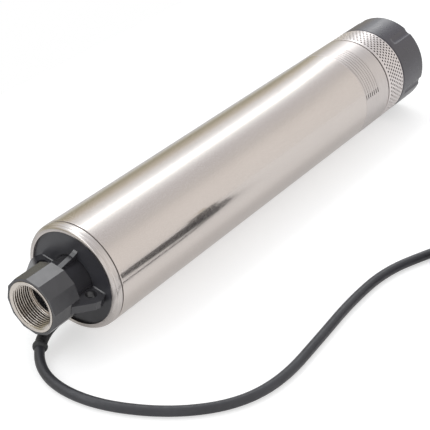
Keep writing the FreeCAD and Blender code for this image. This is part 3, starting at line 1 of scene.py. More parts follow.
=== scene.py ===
import bmesh
import bpy
import json
import math
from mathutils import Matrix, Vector


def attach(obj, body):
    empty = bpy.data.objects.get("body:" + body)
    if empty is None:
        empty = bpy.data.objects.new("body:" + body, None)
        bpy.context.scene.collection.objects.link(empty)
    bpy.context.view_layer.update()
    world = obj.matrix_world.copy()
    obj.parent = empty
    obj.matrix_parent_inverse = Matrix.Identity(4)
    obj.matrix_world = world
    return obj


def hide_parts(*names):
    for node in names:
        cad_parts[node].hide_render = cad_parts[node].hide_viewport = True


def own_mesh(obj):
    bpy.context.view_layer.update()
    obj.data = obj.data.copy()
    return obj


# Submersible borehole pump lying on a pale studio floor. Lengths are in metres in the scene itself.
# Stations along the pump, radii and the cable's route are written in millimetres, and a station
# counts from the mouth's rim, as in the source of the part.

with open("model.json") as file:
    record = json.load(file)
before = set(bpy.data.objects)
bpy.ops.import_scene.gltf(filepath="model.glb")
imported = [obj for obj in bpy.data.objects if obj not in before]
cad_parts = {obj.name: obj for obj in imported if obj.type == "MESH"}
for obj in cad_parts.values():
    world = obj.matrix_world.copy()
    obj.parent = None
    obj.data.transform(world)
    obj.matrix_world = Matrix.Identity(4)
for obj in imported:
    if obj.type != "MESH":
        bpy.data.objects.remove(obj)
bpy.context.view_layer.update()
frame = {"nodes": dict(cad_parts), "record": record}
nodes = frame["nodes"]

FULL_TURN = 2 * math.pi
HALF_LENGTH = 288.5
AXIS_HEIGHT = 0.049
HEAD_ROLL = math.radians(9.8)
SHELL = 49.0          # outer radius of the tube, the sleeve, the strainer and the cap
SHELL_INSIDE = 47.8   # inner radius of the tube and the sleeve


# ---------------------------------------------------------------- meshes

def at(station):
    """X of a station in millimetres from the mouth's rim."""
    return (station - HALF_LENGTH) / 1000


def around_axis(station, radius, angle):
    """Point at a station and radius in millimetres, its angle from the top to the near side."""
    r = radius / 1000
    return (at(station), -r * math.sin(angle), AXIS_HEIGHT + r * math.cos(angle))


def add_object(name, data):
    piece = bpy.data.objects.new(name, data)
    bpy.context.scene.collection.objects.link(piece)
    return piece


def add_mesh(name, points, faces, sharp=35):
    """A smooth-shaded mesh object, with edges over an angle in degrees kept sharp."""
    mesh = bpy.data.meshes.new(name)
    mesh.from_pydata(points, [], faces)
    mesh.validate()
    mesh.shade_smooth()
    mesh.set_sharp_from_angle(angle=math.radians(sharp))
    return add_object(name, mesh)


def weld(piece):
    """Joins points that lie in one place, such as those on the axis."""
    shape = bmesh.new()
    shape.from_mesh(piece.data)
    bmesh.ops.remove_doubles(shape, verts=shape.verts, dist=0.000001)
    shape.to_mesh(piece.data)
    shape.free()
    return piece


def ring_faces(rings, size, wrap=True, inward=False, first=0, skip=None):
    """Quads between rings of points that follow one another, from the point numbered first.

    Each ring is a closed row of size points. With wrap the last ring meets the first, inward turns
    the faces over, and skip leaves out the faces that follow one point of each ring.
    """
    faces = []
    for i in range(rings if wrap else rings - 1):
        here = first + i * size
        there = first + (i + 1) % rings * size
        for k in range(size):
            m = (k + 1) % size
            if k == skip:
                continue
            if inward:
                faces.append((here + k, there + k, there + m, here + m))
            else:
                faces.append((here + k, here + m, there + m, there + k))
    return faces


def end_faces(rings, size):
    """The two end faces of a run of rings that doesn't wrap."""
    return [tuple(reversed(range(size))), tuple(range((rings - 1) * size, rings * size))]


def lathe(name, outline, count):
    """A ring turned about the pump's axis from a closed outline of stations and radii."""
    points = [around_axis(station, radius, FULL_TURN * i / count)
              for i in range(count) for station, radius in outline]
    return add_mesh(name, points, ring_faces(count, len(outline)))


def tube_on(name, places, radii, count):
    """A round sleeve with closed ends on a line of points, with one radius for each point."""
    points = []
    up = Vector((0, 0, 1))
    for i, place in enumerate(places):
        heading = (places[min(i + 1, len(places) - 1)] - places[max(i - 1, 0)]).normalized()
        side = heading.cross(up).normalized()
        top = side.cross(heading)
        for k in range(count):
            angle = FULL_TURN * k / count
            points.append(place + (side * math.cos(angle) + top * math.sin(angle)) * radii[i])
    faces = ring_faces(len(places), count, wrap=False) + end_faces(len(places), count)
    return add_mesh(name, [tuple(p) for p in points], faces)


# ---------------------------------------------------------------- camera

CAMERA_PLACE = Vector((-0.8060, -0.5570, 0.6112))
CAMERA_WAY = Vector((0.68299, 0.49520, -0.53693))
SENSOR_WIDTH = 36.0
FRAME_PIXELS = 430
FOCAL_PIXELS = 1168


def make_camera():
    data = bpy.data.cameras.new("camera")
    data.sensor_width = SENSOR_WIDTH
    data.lens = SENSOR_WIDTH * FOCAL_PIXELS / FRAME_PIXELS
    data.clip_start = 0.01
    data.clip_end = 50
    camera = add_object("camera", data)
    camera.location = CAMERA_PLACE
    camera.rotation_mode = "QUATERNION"
    camera.rotation_quaternion = CAMERA_WAY.to_track_quat("-Z", "Y")
    bpy.context.scene.camera = camera


make_camera()


# ---------------------------------------------------------------- cable

CABLE_RADIUS = 4.4
ROUTE = [
    (-237.5, 5.787, 15.496), (-259.0, 5.787, 15.496), (-285.8, -1.5, 9.8), (-304.5, -21.9, 4.4),
    (-311.9, -54.6, 4.4), (-304.5, -93.8, 4.4), (-279.4, -138.8, 4.4), (-243.1, -171.3, 4.4),
    (-198.4, -183.8, 4.4), (-137.0, -179.6, 4.4), (-76.7, -174.6, 4.4), (-19.9, -176.8, 4.4),
    (30.0, -196.4, 4.4), (70.47, -217.27, 6.0), (98.757, -234.268, 6.0),
]

# The coil: layers of turns that go inwards and outwards by turns, each a number of quarter turns
# long, with half a turn between two layers in which the cable climbs.
COIL_LAYERS = 4
COIL_QUARTERS = 17
COIL_CLIMB = 2
COIL_PITCH = 9.7
COIL_OUTER = 99.8125
COIL_SPREAD = 41.225
COIL_POINTS = 16   # control points for each turn
COIL_LOW = 6.0
COIL_FIRST = math.radians(59) + math.atan(COIL_PITCH / (FULL_TURN * COIL_OUTER))
COIL_ENTRY = Vector((106.3, -238.8, COIL_LOW))
COIL_CENTRE = COIL_ENTRY - Vector((math.cos(COIL_FIRST), math.sin(COIL_FIRST), 0)) * COIL_OUTER
COIL_CENTRE.z = 0

# The rise from the top layer to the plug, which lies on the coil.
RISE_POINTS = 6
RISE_START, RISE_TURN = 0.03, math.radians(120)
RISE_OUTWARD = 1.01
RISE_LOW, RISE_HEIGHT = 35.1, 13.7
PLUG_ENTRY = Vector((24.385, -252.083, 48.8))
PLUG_HEADING = Vector((0.857, 0.5145, 0))
PLUG_RUN = 16


def on_coil(reach, angle, height):
    """Point at a distance from the coil's middle, in millimetres."""
    return COIL_CENTRE + Vector((reach * math.cos(angle), reach * math.sin(angle), height))


def coil_place(i):
    """Radius, angle and height of the cable in the coil after i quarter turns."""
    period = COIL_QUARTERS + COIL_CLIMB
    layer = min(int(max(i, 0) // period), COIL_LAYERS - 1)
    step = i - layer * period
    climb = 0
    travelled = COIL_PITCH * step / 4
    if step > COIL_QUARTERS:
        over = step - COIL_QUARTERS
        travelled = COIL_PITCH * (COIL_QUARTERS + over - over * over / 2) / 4
        climb = (1 - math.cos(math.pi * over / 2)) / 2
    outwards = layer % 2
    radius = COIL_OUTER - COIL_SPREAD + travelled if outwards else COIL_OUTER - travelled
    return radius, COIL_FIRST - i * math.pi / 2, COIL_LOW + COIL_PITCH * (layer + climb)


def cable_points():
    """Control points of the whole cable: its free route, its coil, and the rise to the plug."""
    points = [Vector(p) for p in ROUTE]
    total = COIL_LAYERS * COIL_QUARTERS + COIL_CLIMB * (COIL_LAYERS - 1)
    # A control point lies outside the round line that the turns follow.
    outward = 1 / math.cos(math.pi / COIL_POINTS)
    for k in range(total * COIL_POINTS // 4 + 1):
        radius, angle, height = coil_place((k + 0.5) * 4 / COIL_POINTS)
        points.append(on_coil(radius * outward, angle, height))
    start = COIL_FIRST - total * math.pi / 2
    for k in range(1, RISE_POINTS + 1):
        share = k / (RISE_POINTS + 1)
        eased = (1 - math.cos(math.pi * share)) / 2
        angle = start - RISE_TURN * (share + RISE_START)
        reach = (COIL_OUTER - COIL_SPREAD / 2 * eased) * RISE_OUTWARD
        points.append(on_coil(reach, angle, RISE_LOW + RISE_HEIGHT * eased))
    points += [PLUG_ENTRY - PLUG_HEADING * PLUG_RUN, PLUG_ENTRY]
    return [p / 1000 for p in points]


def cable_curve(name, points, radius):
    """A round cord on one smooth spline that has the points as its control points."""
    curve = bpy.data.curves.new(name, "CURVE")
    curve.dimensions = "3D"
    curve.resolution_u = 10
    curve.bevel_depth = radius
    curve.bevel_resolution = 6
    curve.use_fill_caps = True
    spline = curve.splines.new("NURBS")
    spline.points.add(len(points) - 1)
    for point, place in zip(spline.points, points):
        point.co = (place.x, place.y, place.z, 1)
    spline.order_u = 3
    spline.use_endpoint_u = True
    return add_object(name, curve)


def line_of(piece):
    """Points along a curve's own line, read from it with no bevel."""
    bare = piece.copy()
    bare.data = piece.data.copy()
    bare.data.bevel_depth = 0
    bare.data.use_fill_caps = False
    bpy.context.scene.collection.objects.link(bare)
    bpy.context.view_layer.update()
    evaluated = bare.evaluated_get(bpy.context.evaluated_depsgraph_get())
    mesh = bpy.data.meshes.new_from_object(evaluated)
    line = [v.co.copy() for v in mesh.vertices]
    bpy.data.meshes.remove(mesh)
    bpy.data.objects.remove(bare)
    return line


def on_line(line, distance):
    """Point at a distance along a line, in metres, or before its start if that is negative."""
    if distance <= 0:
        return line[0] + (line[0] - line[1]).normalized() * -distance
    for a, b in zip(line, line[1:]):
        step = (b - a).length
        if distance <= step:
            return a.lerp(b, distance / step)
        distance -= step
    return line[-1].copy()


def make_relief(line):
    """Tapered rubber sleeve on the cable where it leaves the head, with a bead at its end."""
    # Distances along the cable from its exit, each with a radius.
    shape = [
        (-10.0, 6.9), (0.0, 6.9), (0.6, 7.15), (2.0, 7.2), (3.4, 7.15), (4.0, 6.85), (9.0, 6.45),
        (13.4, 6.2), (20.0, 5.85), (26.8, 5.65), (34.0, 5.45), (40.1, 5.3), (45.0, 5.2),
        (47.2, 5.2), (48.0, 5.5), (48.7, 6.0), (49.6, 6.35), (50.6, 6.4), (51.6, 6.3),
        (52.6, 5.95), (53.2, 5.5), (53.5, 4.8), (53.5, 4.42),
    ]
    longest_step = 1.2
    fine = []
    for (d0, r0), (d1, r1) in zip(shape, shape[1:]):
        steps = max(1, int((d1 - d0) / longest_step))
        for k in range(steps):
            share = k / steps
            fine.append((d0 + (d1 - d0) * share, r0 + (r1 - r0) * share))
    fine.append(shape[-1])
    places = [on_line(line, distance / 1000) for distance, radius in fine]
    return tube_on("strain_relief", places, [radius / 1000 for distance, radius in fine], 40)


def make_tie():
    """Webbing strap round the coil's turns, with rounded corners, and its buckle."""
    low, high, top = 51.8, 106.6, 41.1
    width, thick, corner, corner_steps = 14.0, 1.2, 3.4, 6
    turn = math.radians(-10)

    def place(reach, across, height):
        x = COIL_CENTRE.x + reach * math.cos(turn) - across * math.sin(turn)
        y = COIL_CENTRE.y + reach * math.sin(turn) + across * math.cos(turn)
        return (x / 1000, y / 1000, height / 1000)

    points = []
    corners = ((high - corner, top - corner, 0), (low + corner, top - corner, 90),
               (low + corner, corner, 180), (high - corner, corner, 270))
    section = ((0.0, -width / 2), (0.0, width / 2), (thick, width / 2), (thick, -width / 2))
    for reach, height, first in corners:
        for k in range(corner_steps + 1):
            angle = math.radians(first + 90 // corner_steps * k)
            out, rise = math.cos(angle), math.sin(angle)
            for depth, across in section:
                away = corner - depth
                points.append(place(reach + out * away, across, height + rise * away))
    faces = ring_faces(len(corners) * (corner_steps + 1), len(section))
    strap = add_mesh("cable_tie", points, faces)

    # The buckle is a plate on top of the strap, with its upper edges broken.
    middle, half, side = (low + high) / 2, 5, 9
    points = []
    for height, grow in ((top - 0.1, 0), (top + 1.6, 0), (top + 2.1, -0.5)):
        for reach, across in ((-half, -side), (half, -side), (half, side), (-half, side)):
            points.append(place(middle + reach + math.copysign(grow, reach),
                                across + math.copysign(grow, across), height))
    faces = ring_faces(3, 4, wrap=False) + [(3, 2, 1, 0), (8, 9, 10, 11)]
    return strap, add_mesh("tie_buckle", points, faces)


cable = cable_curve("cable", cable_points(), CABLE_RADIUS / 1000)
relief = make_relief(line_of(cable))
tie, buckle = make_tie()


# ---------------------------------------------------------------- mouth, shell, strainer, cap

def make_insert():
    """Metal insert with a true right-hand helical thread, its flat rim, chamfer and inner step."""
    crest, root, pitch, flank = 19.475, 20.955, 2.309, 0.95
    phase, root_flat = 0.2, 0.08
    chamfer_mouth, chamfer_slope = 22.45, 2.9
    thread_end, fade_end = 20.0, 19.8
    count, rows = 168, 190

    def inner(station, angle):
        chamfer = chamfer_mouth - chamfer_slope * station
        turns = (station + phase) / pitch - angle / FULL_TURN
        away = abs(turns - round(turns)) * pitch
        depth = (root - crest + root_flat) * (1 - away / flank) if away < flank else 0
        depth = min(depth, root - crest)
        fade = min(1, max(0, fade_end - station))
        return max(chamfer, crest + depth * fade)

    rim = [(21.3, 21.8), (2.0, 21.8), (2.0, 23.15), (0.4, 23.15), (0.22, 23.1), (0.08, 22.98),
           (0.0, 22.82), (0.0, 22.65), (0.0, 22.55), (0.04, 22.42)]
    step = [(20.0, 19.2), (20.0, 17.75), (20.1, 17.55), (20.3, 17.45), (21.3, 17.45)]
    stations = [thread_end * i / rows for i in range(1, rows + 1)]
    points = []
    for k in range(count):
        angle = FULL_TURN * k / count
        bore = [(station, inner(station, angle)) for station in stations]
        points += [around_axis(s, r, angle) for s, r in rim + bore + step]
    faces = ring_faces(count, len(points) // count, inward=True)
    return add_mesh("mouth_insert", points, faces, 50)


def make_sleeve():
    """Brushed sleeve with three groups of fine slots, each a shallow cut with an open wide end."""
    start, end = 452.3, 499.2
    slots = [454.2 + 3.96 * k for k in range(7)]
    half_pitch = 1.98
    cut, lip, wide = 0.2, 0.25, 0.66        # half widths of the cut, its lips and its open end
    slot_depth = 0.35
    group = 120                             # degrees from one group of slots to the next
    cut_from, cut_to, open_to = 5.5, 69.5, 75.5
    count = 360
    stations = [start, start + 0.12, start + 0.3]
    for middle in slots:
        stations += [middle + side for side in (-wide, -lip, -cut, cut, lip, wide)]
        stations.append(middle + half_pitch)
    stations += [484.0, 488.0, 492.0, 496.0, 498.6, end - 0.3, end - 0.1, end]
    rows = len(stations)
    last = rows - 1
    rounding = {0: 0.25, 1: 0.08, last - 1: 0.1, last: 0.32}

    def sunk(station, degrees):
        near_slot = any(abs(station - slot) < (cut + lip) / 2 for slot in slots)
        return near_slot and cut_from < degrees % group < cut_to

    def is_open(i, degrees):
        middle = (stations[i] + stations[i + 1]) / 2
        near_slot = any(abs(middle - slot) < wide for slot in slots)
        return near_slot and cut_to < degrees % group < open_to

    points, faces = [], []
    for inside in (False, True):
        for k in range(count):
            degrees = k + 0.5
            for i, station in enumerate(stations):
                radius = SHELL_INSIDE
                if not inside:
                    radius = SHELL - rounding.get(i, 0) - slot_depth * sunk(station, degrees)
                points.append(around_axis(station, radius, math.radians(degrees)))
    shift = count * rows
    holes = [[is_open(i, k + 1.0) for i in range(last)] for k in range(count)]
    for k in range(count):
        m = (k + 1) % count
        for i in range(last):
            one, two = k * rows + i, m * rows + i
            if not holes[k][i]:
                faces.append((one, one + 1, two + 1, two))
                faces.append((shift + one, shift + two, shift + two + 1, shift + one + 1))
                continue
            if not holes[k - 1][i]:
                faces.append((one, one + 1, shift + one + 1, shift + one))
            if not holes[m][i]:
                faces.append((two, shift + two, shift + two + 1, two + 1))
            if not holes[k][i - 1]:
                faces.append((one, shift + one, shift + two, two))
            if not holes[k][i + 1]:
                faces.append((one + 1, two + 1, shift + two + 1, shift + one + 1))
        one, two = k * rows, m * rows
        faces.append((one, two, shift + two, shift + one))
        one, two = one + last, two + last
        faces.append((one, shift + one, shift + two, two))
    return add_mesh("slotted_sleeve", points, faces, 30)


def make_strainer():
    """Perforated steel ring: a thin sheet with staggered round holes and turned-in rims."""
    start, end, thick, rim_inside = 501.1, 532.0, 0.6, 46.2
    rows, columns, pitch, first = 8, 69, 3.35, 505.9
    hole, countersink, countersink_depth = 1.18, 0.1, 0.12
    hole_angle = 50.8    # degrees from the top to one hole of the first row
    lead = math.radians(hole_angle % (360 / columns))
    half_turn = math.pi / columns
    points, faces, known = [], [], {}

    def point(station, angle, radius):
        """Number of the point at a place, which is made once for all faces that meet there."""
        turn = angle % FULL_TURN
        if FULL_TURN - turn < 1e-7:
            turn = 0.0
        key = (round(station, 4), round(turn, 6), round(radius, 3))
        if key not in known:
            known[key] = len(points)
            points.append(around_axis(station, radius, angle + lead))
        return known[key]

    # Each hole has its own square of sheet, with sixteen points round both.
    square = [(1, 0), (1, .5), (1, 1), (.5, 1), (0, 1), (-.5, 1), (-1, 1), (-1, .5),
              (-1, 0), (-1, -.5), (-1, -1), (-.5, -1), (0, -1), (.5, -1), (1, -1), (1, -.5)]
    circles = ((hole + countersink, 0.0), (hole, countersink_depth), (hole, thick))
    sides = len(square)
    for i in range(rows):
        station = first + pitch * i
        for j in range(columns):
            middle = (2 * j + i % 2) * half_turn
            lines = [[] for line in range(1 + len(circles))]
            for k, (u, v) in enumerate(square):
                angle = math.pi * k / 8
                lines[0].append(point(station + u * pitch / 2, middle + v * half_turn, SHELL))
                for line, (size, depth) in zip(lines[1:], circles):
                    line.append(point(station + size * math.cos(angle),
                                      middle + size * math.sin(angle) / SHELL, SHELL - depth))
            for k in range(sides):
                m = (k + 1) % sides
                for one, two in zip(lines, lines[1:]):
                    faces.append((one[k], one[m], two[m], two[k]))

    low, high = first - pitch / 2, first + pitch * (rows - 0.5)
    mouth_rim = [(low, SHELL), (start + 0.35, SHELL), (start + 0.1, SHELL - 0.1),
                 (start, SHELL - 0.35), (start, rim_inside), (start + thick, rim_inside),
                 (start + thick, SHELL - thick)]
    cap_rim = [(end, rim_inside), (end, SHELL - 0.3), (end - 0.08, SHELL - 0.08),
               (end - 0.3, SHELL), (high, SHELL)]
    for j in range(columns * 4):
        one, two = j * half_turn / 2, (j + 1) * half_turn / 2
        for line in (mouth_rim, cap_rim):
            for (s0, r0), (s1, r1) in zip(line, line[1:]):
                faces.append((point(s0, one, r0), point(s1, one, r1),
                              point(s1, two, r1), point(s0, two, r0)))
    return add_mesh("perforated_ring", points, faces, 40)


def make_cap():
    """End cap: a moulded cup with five shallow grip flutes that run out towards the strainer."""
    count = 720
    flutes, first_flute, flute, depth = 5, math.radians(33), math.radians(5.2), 1.5
    run_start, run_length = 540.5, 4.5
    fluted_from = 47.9
    wall_start, wall_length, wall_rows = 534.0, 42.1, 42
    body = [(532.1, 42.4), (532.1, 48.1), (533.2, 48.1), (533.35, 48.45), (533.6, 48.8),
            (wall_start, SHELL)]
    body += [(wall_start + wall_length * k / wall_rows, SHELL) for k in range(1, wall_rows + 1)]
    body += [(576.45, 48.93), (576.75, 48.72), (576.93, 48.42), (577.0, 48.0)]
    end = [(577.0, 44.0), (577.0, 37.0), (576.85, 36.6), (576.5, 36.3), (576.4, 36.0),
           (576.4, 31.0), (576.4, 9.4), (576.5, 9.1), (576.7, 8.9), (576.8, 8.6), (576.8, 4.0),
           (576.8, 0.0)]
    cup = [(572.2, 0.0), (572.2, 20.0), (572.2, 41.8), (571.8, 42.4)]

    def cut(station, radius, angle):
        """Depth of a flute below the cap's own surface."""
        away = math.remainder(angle - first_flute, FULL_TURN / flutes) / flute
        if radius <= fluted_from or abs(away) >= 1:
            return 0
        run = min(1, max(0, (station - run_start) / run_length))
        run = run * run * (3 - 2 * run)
        return run * depth * (1 - away * away)

    points = []
    for k in range(count):
        angle = FULL_TURN * k / count
        points += [around_axis(s, r - cut(s, r, angle), angle) for s, r in body]
        points += [around_axis(s, r, angle) for s, r in end + cup]
    # The outline runs from the end to the cup on the axis itself, where there are no faces.
    rows = len(body) + len(end) + len(cup)
    faces = ring_faces(count, rows, skip=len(body) + len(end) - 1)
    return weld(add_mesh("fluted_cap", points, faces, 40))


def make_spring():
    """Wire spring of the valve, with a closer turn at each end."""
    wire, radius, start, end, turns = 0.5, 7.4, 29.5, 46.9, 6.0
    closeness = 0.35
    steps, sides = 288, 12
    points = []
    for i in range(steps + 1):
        share = i / steps
        eased = share - closeness / turns * math.sin(FULL_TURN * share)
        station = start + wire + (end - start - 2 * wire) * eased
        angle = FULL_TURN * turns * share
        for k in range(sides):
            turn = FULL_TURN * k / sides
            points.append(around_axis(station + wire * math.sin(turn),
                                      radius + wire * math.cos(turn), angle))
    faces = ring_faces(steps + 1, sides, wrap=False) + end_faces(steps + 1, sides)
    return add_mesh("spring_coil", points, faces, 60)


def make_lug_fillets():
    """Small fillets where both faces of each rope lug meet the disc, tapered at their ends."""
    near, length, steps = 21.2, 13.6, 12
    size, taper_end, taper = 0.75, 35.2, 0.8
    half_lug, sunk, disc, behind = 4.0, 3.9, 51.0, 51.05
    side = Vector((0, math.cos(HEAD_ROLL), math.sin(HEAD_ROLL)))
    top = Vector((0, -math.sin(HEAD_ROLL), math.cos(HEAD_ROLL)))
    points, faces = [], []
    for across in (-1, 1):
        for low in (-1, 1):
            first = len(points)
            for k in range(steps + 1):
                reach = near + length * k / steps
                leg = size * min(1, (taper_end - reach) / taper)
                for station, height in ((behind, sunk), (behind, half_lug + leg),
                                        (disc - leg, half_lug), (disc - leg, sunk)):
                    place = side * across * reach + top * height * low
                    points.append((at(station), place.y / 1000, AXIS_HEIGHT + place.z / 1000))
            last = first + steps * 4
            faces += ring_faces(steps + 1, 4, wrap=False, first=first)
            faces += [tuple(range(first, first + 4)), tuple(reversed(range(last, last + 4)))]
    return add_mesh("lug_fillets", points, faces)


insert = make_insert()
lug_fillets = make_lug_fillets()
mouth_liner = lathe("mouth_liner", [(21.35, 21.75), (26.5, 21.75), (26.5, 17.5), (21.35, 17.5)], 96)
lip_ring = lathe("lip_ring", [
    (50.9, 42.95), (49.6, 42.9), (49.05, 43.0), (48.75, 43.3), (48.62, 43.8), (48.6, 44.4),
    (48.65, 45.2), (48.85, 45.95), (49.2, 46.6), (49.7, 47.15), (50.2, 47.5), (50.7, 47.72),
    (51.0, 47.7), (51.2, 47.62), (51.4, 47.8), (51.7, 48.2), (52.3, 48.48), (53.5, 48.72),
    (55.0, 48.86), (55.9, 48.9), (56.15, 48.85), (56.3, 48.7), (56.3, 47.68), (62.9, 47.65),
    (62.9, 46.65), (50.9, 46.65)], 256)
# Painted shade: a dark ring fills the seam between the lip ring and the tube, standing in for the
# shadow of the gap.
seam_shade_ring = lathe("seam_shade_ring", [
    (56.35, 47.7), (56.35, 48.4), (56.85, 48.55), (57.35, 48.4), (57.35, 47.7)], 256)
mirror_tube = lathe("mirror_tube", [
    (57.4, 48.8), (57.48, 48.93), (57.65, SHELL), (58.5, SHELL), (62.0, SHELL),
    *((70.0 + 25 * k, SHELL) for k in range(16)),
    (451.0, SHELL), (452.0, SHELL), (452.15, 48.95), (452.2, 48.85), (452.2, SHELL_INSIDE),
    (57.4, SHELL_INSIDE)], 320)
sleeve = make_sleeve()
strainer = make_strainer()
strainer_core = lathe("strainer_core", [
    (501.5, 42.45), (501.5, 46.1), (502.1, 46.1), (502.1, 45.6), (531.0, 45.6), (531.0, 46.1),
    (531.9, 46.1), (531.9, 42.45)], 128)
fluted_cap = make_cap()
spring = make_spring()


def crisp_edges(node, width):
    """Rounds the edges of a moulded piece with modifiers, so that its own mesh stays."""
    merge = node.modifiers.new("weld", "WELD")
    merge.merge_threshold = 0.000002
    flat = node.modifiers.new("flat", "DECIMATE")
    flat.decimate_type = "DISSOLVE"
    flat.angle_limit = math.radians(0.6)
    bevel = node.modifiers.new("bevel", "BEVEL")
    bevel.width = width
    bevel.segments = 3
    bevel.limit_method = "ANGLE"
    bevel.angle_limit = math.radians(22)
    bevel.use_clamp_overlap = True
    bevel.harden_normals = True


crisp_edges(nodes["discharge_head"], 0.00045)
crisp_edges(nodes["head_plate"], 0.0004)


# ---------------------------------------------------------------- materials

class NodeTree:
    """Short ways to add and link the nodes of a material or a world."""

    def __init__(self, tree):
        self.tree = tree

    def node(self, kind, **values):
        """A new node. Each value goes to the input of that name, or else to the node's setting."""
        made = self.tree.nodes.new(kind)
        for key, value in values.items():
            if key in made.inputs:
                made.inputs[key].default_value = value
            else:
                setattr(made, key, value)
        return made

    def feed(self, socket, value):
        """Links an input to an output, or gives it a constant."""
        if isinstance(value, bpy.types.NodeSocket):
            self.tree.links.new(value, socket)
        else:
            socket.default_value = value

    def calc(self, operation, *values):
        made = self.node("ShaderNodeMath", operation=operation)
        for socket, value in zip(made.inputs, values):
            self.feed(socket, value)
        return made.outputs[0]

    def between(self, source, low, high, start=0.35, end=0.65):
        """Low to high while the source goes from start to end, by default a noise's usual range."""
        made = self.node("ShaderNodeMapRange")
        for name, value in (("Value", source), ("From Min", start), ("From Max", end),
                            ("To Min", low), ("To Max", high)):
            self.feed(made.inputs[name], value)
        return made.outputs["Result"]

    def split(self, source):
        made = self.node("ShaderNodeSeparateXYZ")
        self.feed(made.inputs[0], source)
        return made.outputs


class Shader(NodeTree):
    """A node material round one surface shader."""

    def __init__(self, name, colour, metallic, roughness):
        self.material = bpy.data.materials.new(name)
        self.material.use_nodes = True
        super().__init__(self.material.node_tree)
        self.surface = self.tree.nodes["Principled BSDF"]
        self.put("Base Color", (*colour, 1))
        self.put("Metallic", metallic)
        self.put("Roughness", roughness)
        self.place = self.node("ShaderNodeTexCoord").outputs["Object"]

    def put(self, socket, value):
        self.feed(self.surface.inputs[socket], value)

    def noise(self, scale, detail, stretch=(1, 1, 1)):
        """Noise over the object's own space, stretched along its axes."""
        mapping = self.node("ShaderNodeMapping", Scale=stretch)
        self.feed(mapping.inputs["Vector"], self.place)
        made = self.node("ShaderNodeTexNoise", Scale=scale, Detail=detail, Roughness=0.55)
        self.feed(made.inputs["Vector"], mapping.outputs["Vector"])
        return made.outputs["Fac"]

    def mix(self, share, one, two):
        """A colour between two others, each a colour or an output."""
        made = self.node("ShaderNodeMix", data_type="RGBA")
        self.feed(made.inputs[0], share)
        for index, value in ((6, one), (7, two)):
            self.feed(made.inputs[index], (*value, 1) if isinstance(value, tuple) else value)
        return made.outputs[2]

    def bump(self, sources, edge=0.0):
        """Bumps, each a height with its depth in metres, over edges rounded by a radius."""
        normal = None
        if edge:
            normal = self.node("ShaderNodeBevel", samples=6, Radius=edge).outputs["Normal"]
        for height, depth in sources:
            made = self.node("ShaderNodeBump", Strength=1.0, Distance=depth)
            self.feed(made.inputs["Height"], height)
            if normal is not None:
                self.feed(made.inputs["Normal"], normal)
            normal = made.outputs["Normal"]
        self.put("Normal", normal)


def shades(colour, darker, lighter):
    """A darker and a lighter shade of a colour, none of it over 1."""
    return tuple(c * darker for c in colour), tuple(min(1, c * lighter) for c in colour)


def polished_steel():
    """Mirror finish with a fine haze, faint clouds and the long waves of drawn tube."""
    made = Shader("polished_steel", (0.64, 0.585, 0.55), metallic=1.0, roughness=0.05)
    clouds = made.between(made.noise(9, 3, (0.5, 1, 1)), 0, 1)
    haze = made.noise(2500, 2)
    waves, scratches = made.noise(22, 3, (0.18, 1, 1)), made.noise(900, 2, (3, 0.2, 0.2))
    made.put("Base Color", made.mix(clouds, (0.655, 0.598, 0.562), (0.62, 0.565, 0.532)))
    made.put("Roughness", made.between(haze, 0.06, 0.30, start=0.40, end=0.64))
    made.bump([(waves, 0.00004), (scratches, 0.0000006)])
    return made.material


def brushed_steel(name, colour, low, high, lines=(30, 1, 1), depth=0.000004):
    """Metal brushed across the axis that lines scales most, rough from low to high."""
    made = Shader(name, colour, metallic=1.0, roughness=(low + high) / 2)
    grain = made.noise(60, 4, lines)
    made.put("Base Color", made.mix(made.between(grain, 0, 1), *shades(colour, 0.9, 1.05)))
    made.put("Roughness", made.between(made.noise(30, 4, lines), low, high))
    made.bump([(grain, depth)])
    return made.material


def threaded_steel():
    """Turned steel, its colour darker down in the thread's roots as painted shade."""
    made = Shader("insert_steel", (0.62, 0.57, 0.52), metallic=1.0, roughness=0.17)
    place = made.split(made.place)
    from_axis = made.node("ShaderNodeCombineXYZ")
    made.feed(from_axis.inputs["Y"], place["Y"])
    made.feed(from_axis.inputs["Z"], made.calc("SUBTRACT", place["Z"], AXIS_HEIGHT))
    radius = made.node("ShaderNodeVectorMath", operation="LENGTH")
    made.feed(radius.inputs[0], from_axis.outputs[0])
    # Painted shade: the base colour darkens deep in the thread's roots, from just inside the mouth.
    deep = made.between(radius.outputs["Value"], 0, 1, start=0.0199, end=0.0208)
    inside = made.between(place["X"], 0, 1, start=at(0.8), end=at(1.4))
    grain = made.noise(300, 3)
    plain = made.mix(made.between(grain, 0, 1), (0.60, 0.55, 0.50), (0.65, 0.60, 0.55))
    painted_root_shade = made.calc("MULTIPLY", deep, inside)
    made.put("Base Color", made.mix(painted_root_shade, plain, (0.40, 0.36, 0.32)))
    made.put("Roughness", made.between(grain, 0.19, 0.26))
    made.bump([(made.noise(700, 2, (3, 1, 1)), 0.000002)])
    return made.material


def moulded_plastic(name, colour, low, high, edge=0.0, tint=0.12, grain=0.000004, shine=0.5,
                    flow=0.0):
    """Plastic or rubber, rough from low to high, with a fine grain and, with flow, flow lines."""
    made = Shader(name, colour, metallic=0.0, roughness=(low + high) / 2)
    made.put("Specular IOR Level", shine)
    clouds = made.between(made.noise(45, 4), 0, 1)
    made.put("Base Color", made.mix(clouds, *shades(colour, 1 - tint, 1 + tint)))
    made.put("Roughness", made.between(made.noise(160, 4), low, high))
    bumps = [(made.noise(1800, 2), grain), (made.noise(60, 2), grain * 5)]
    if flow:
        bumps.append((made.noise(150, 2, (0.04, 1, 1)), flow))
    made.bump(bumps, edge)
    return made.material


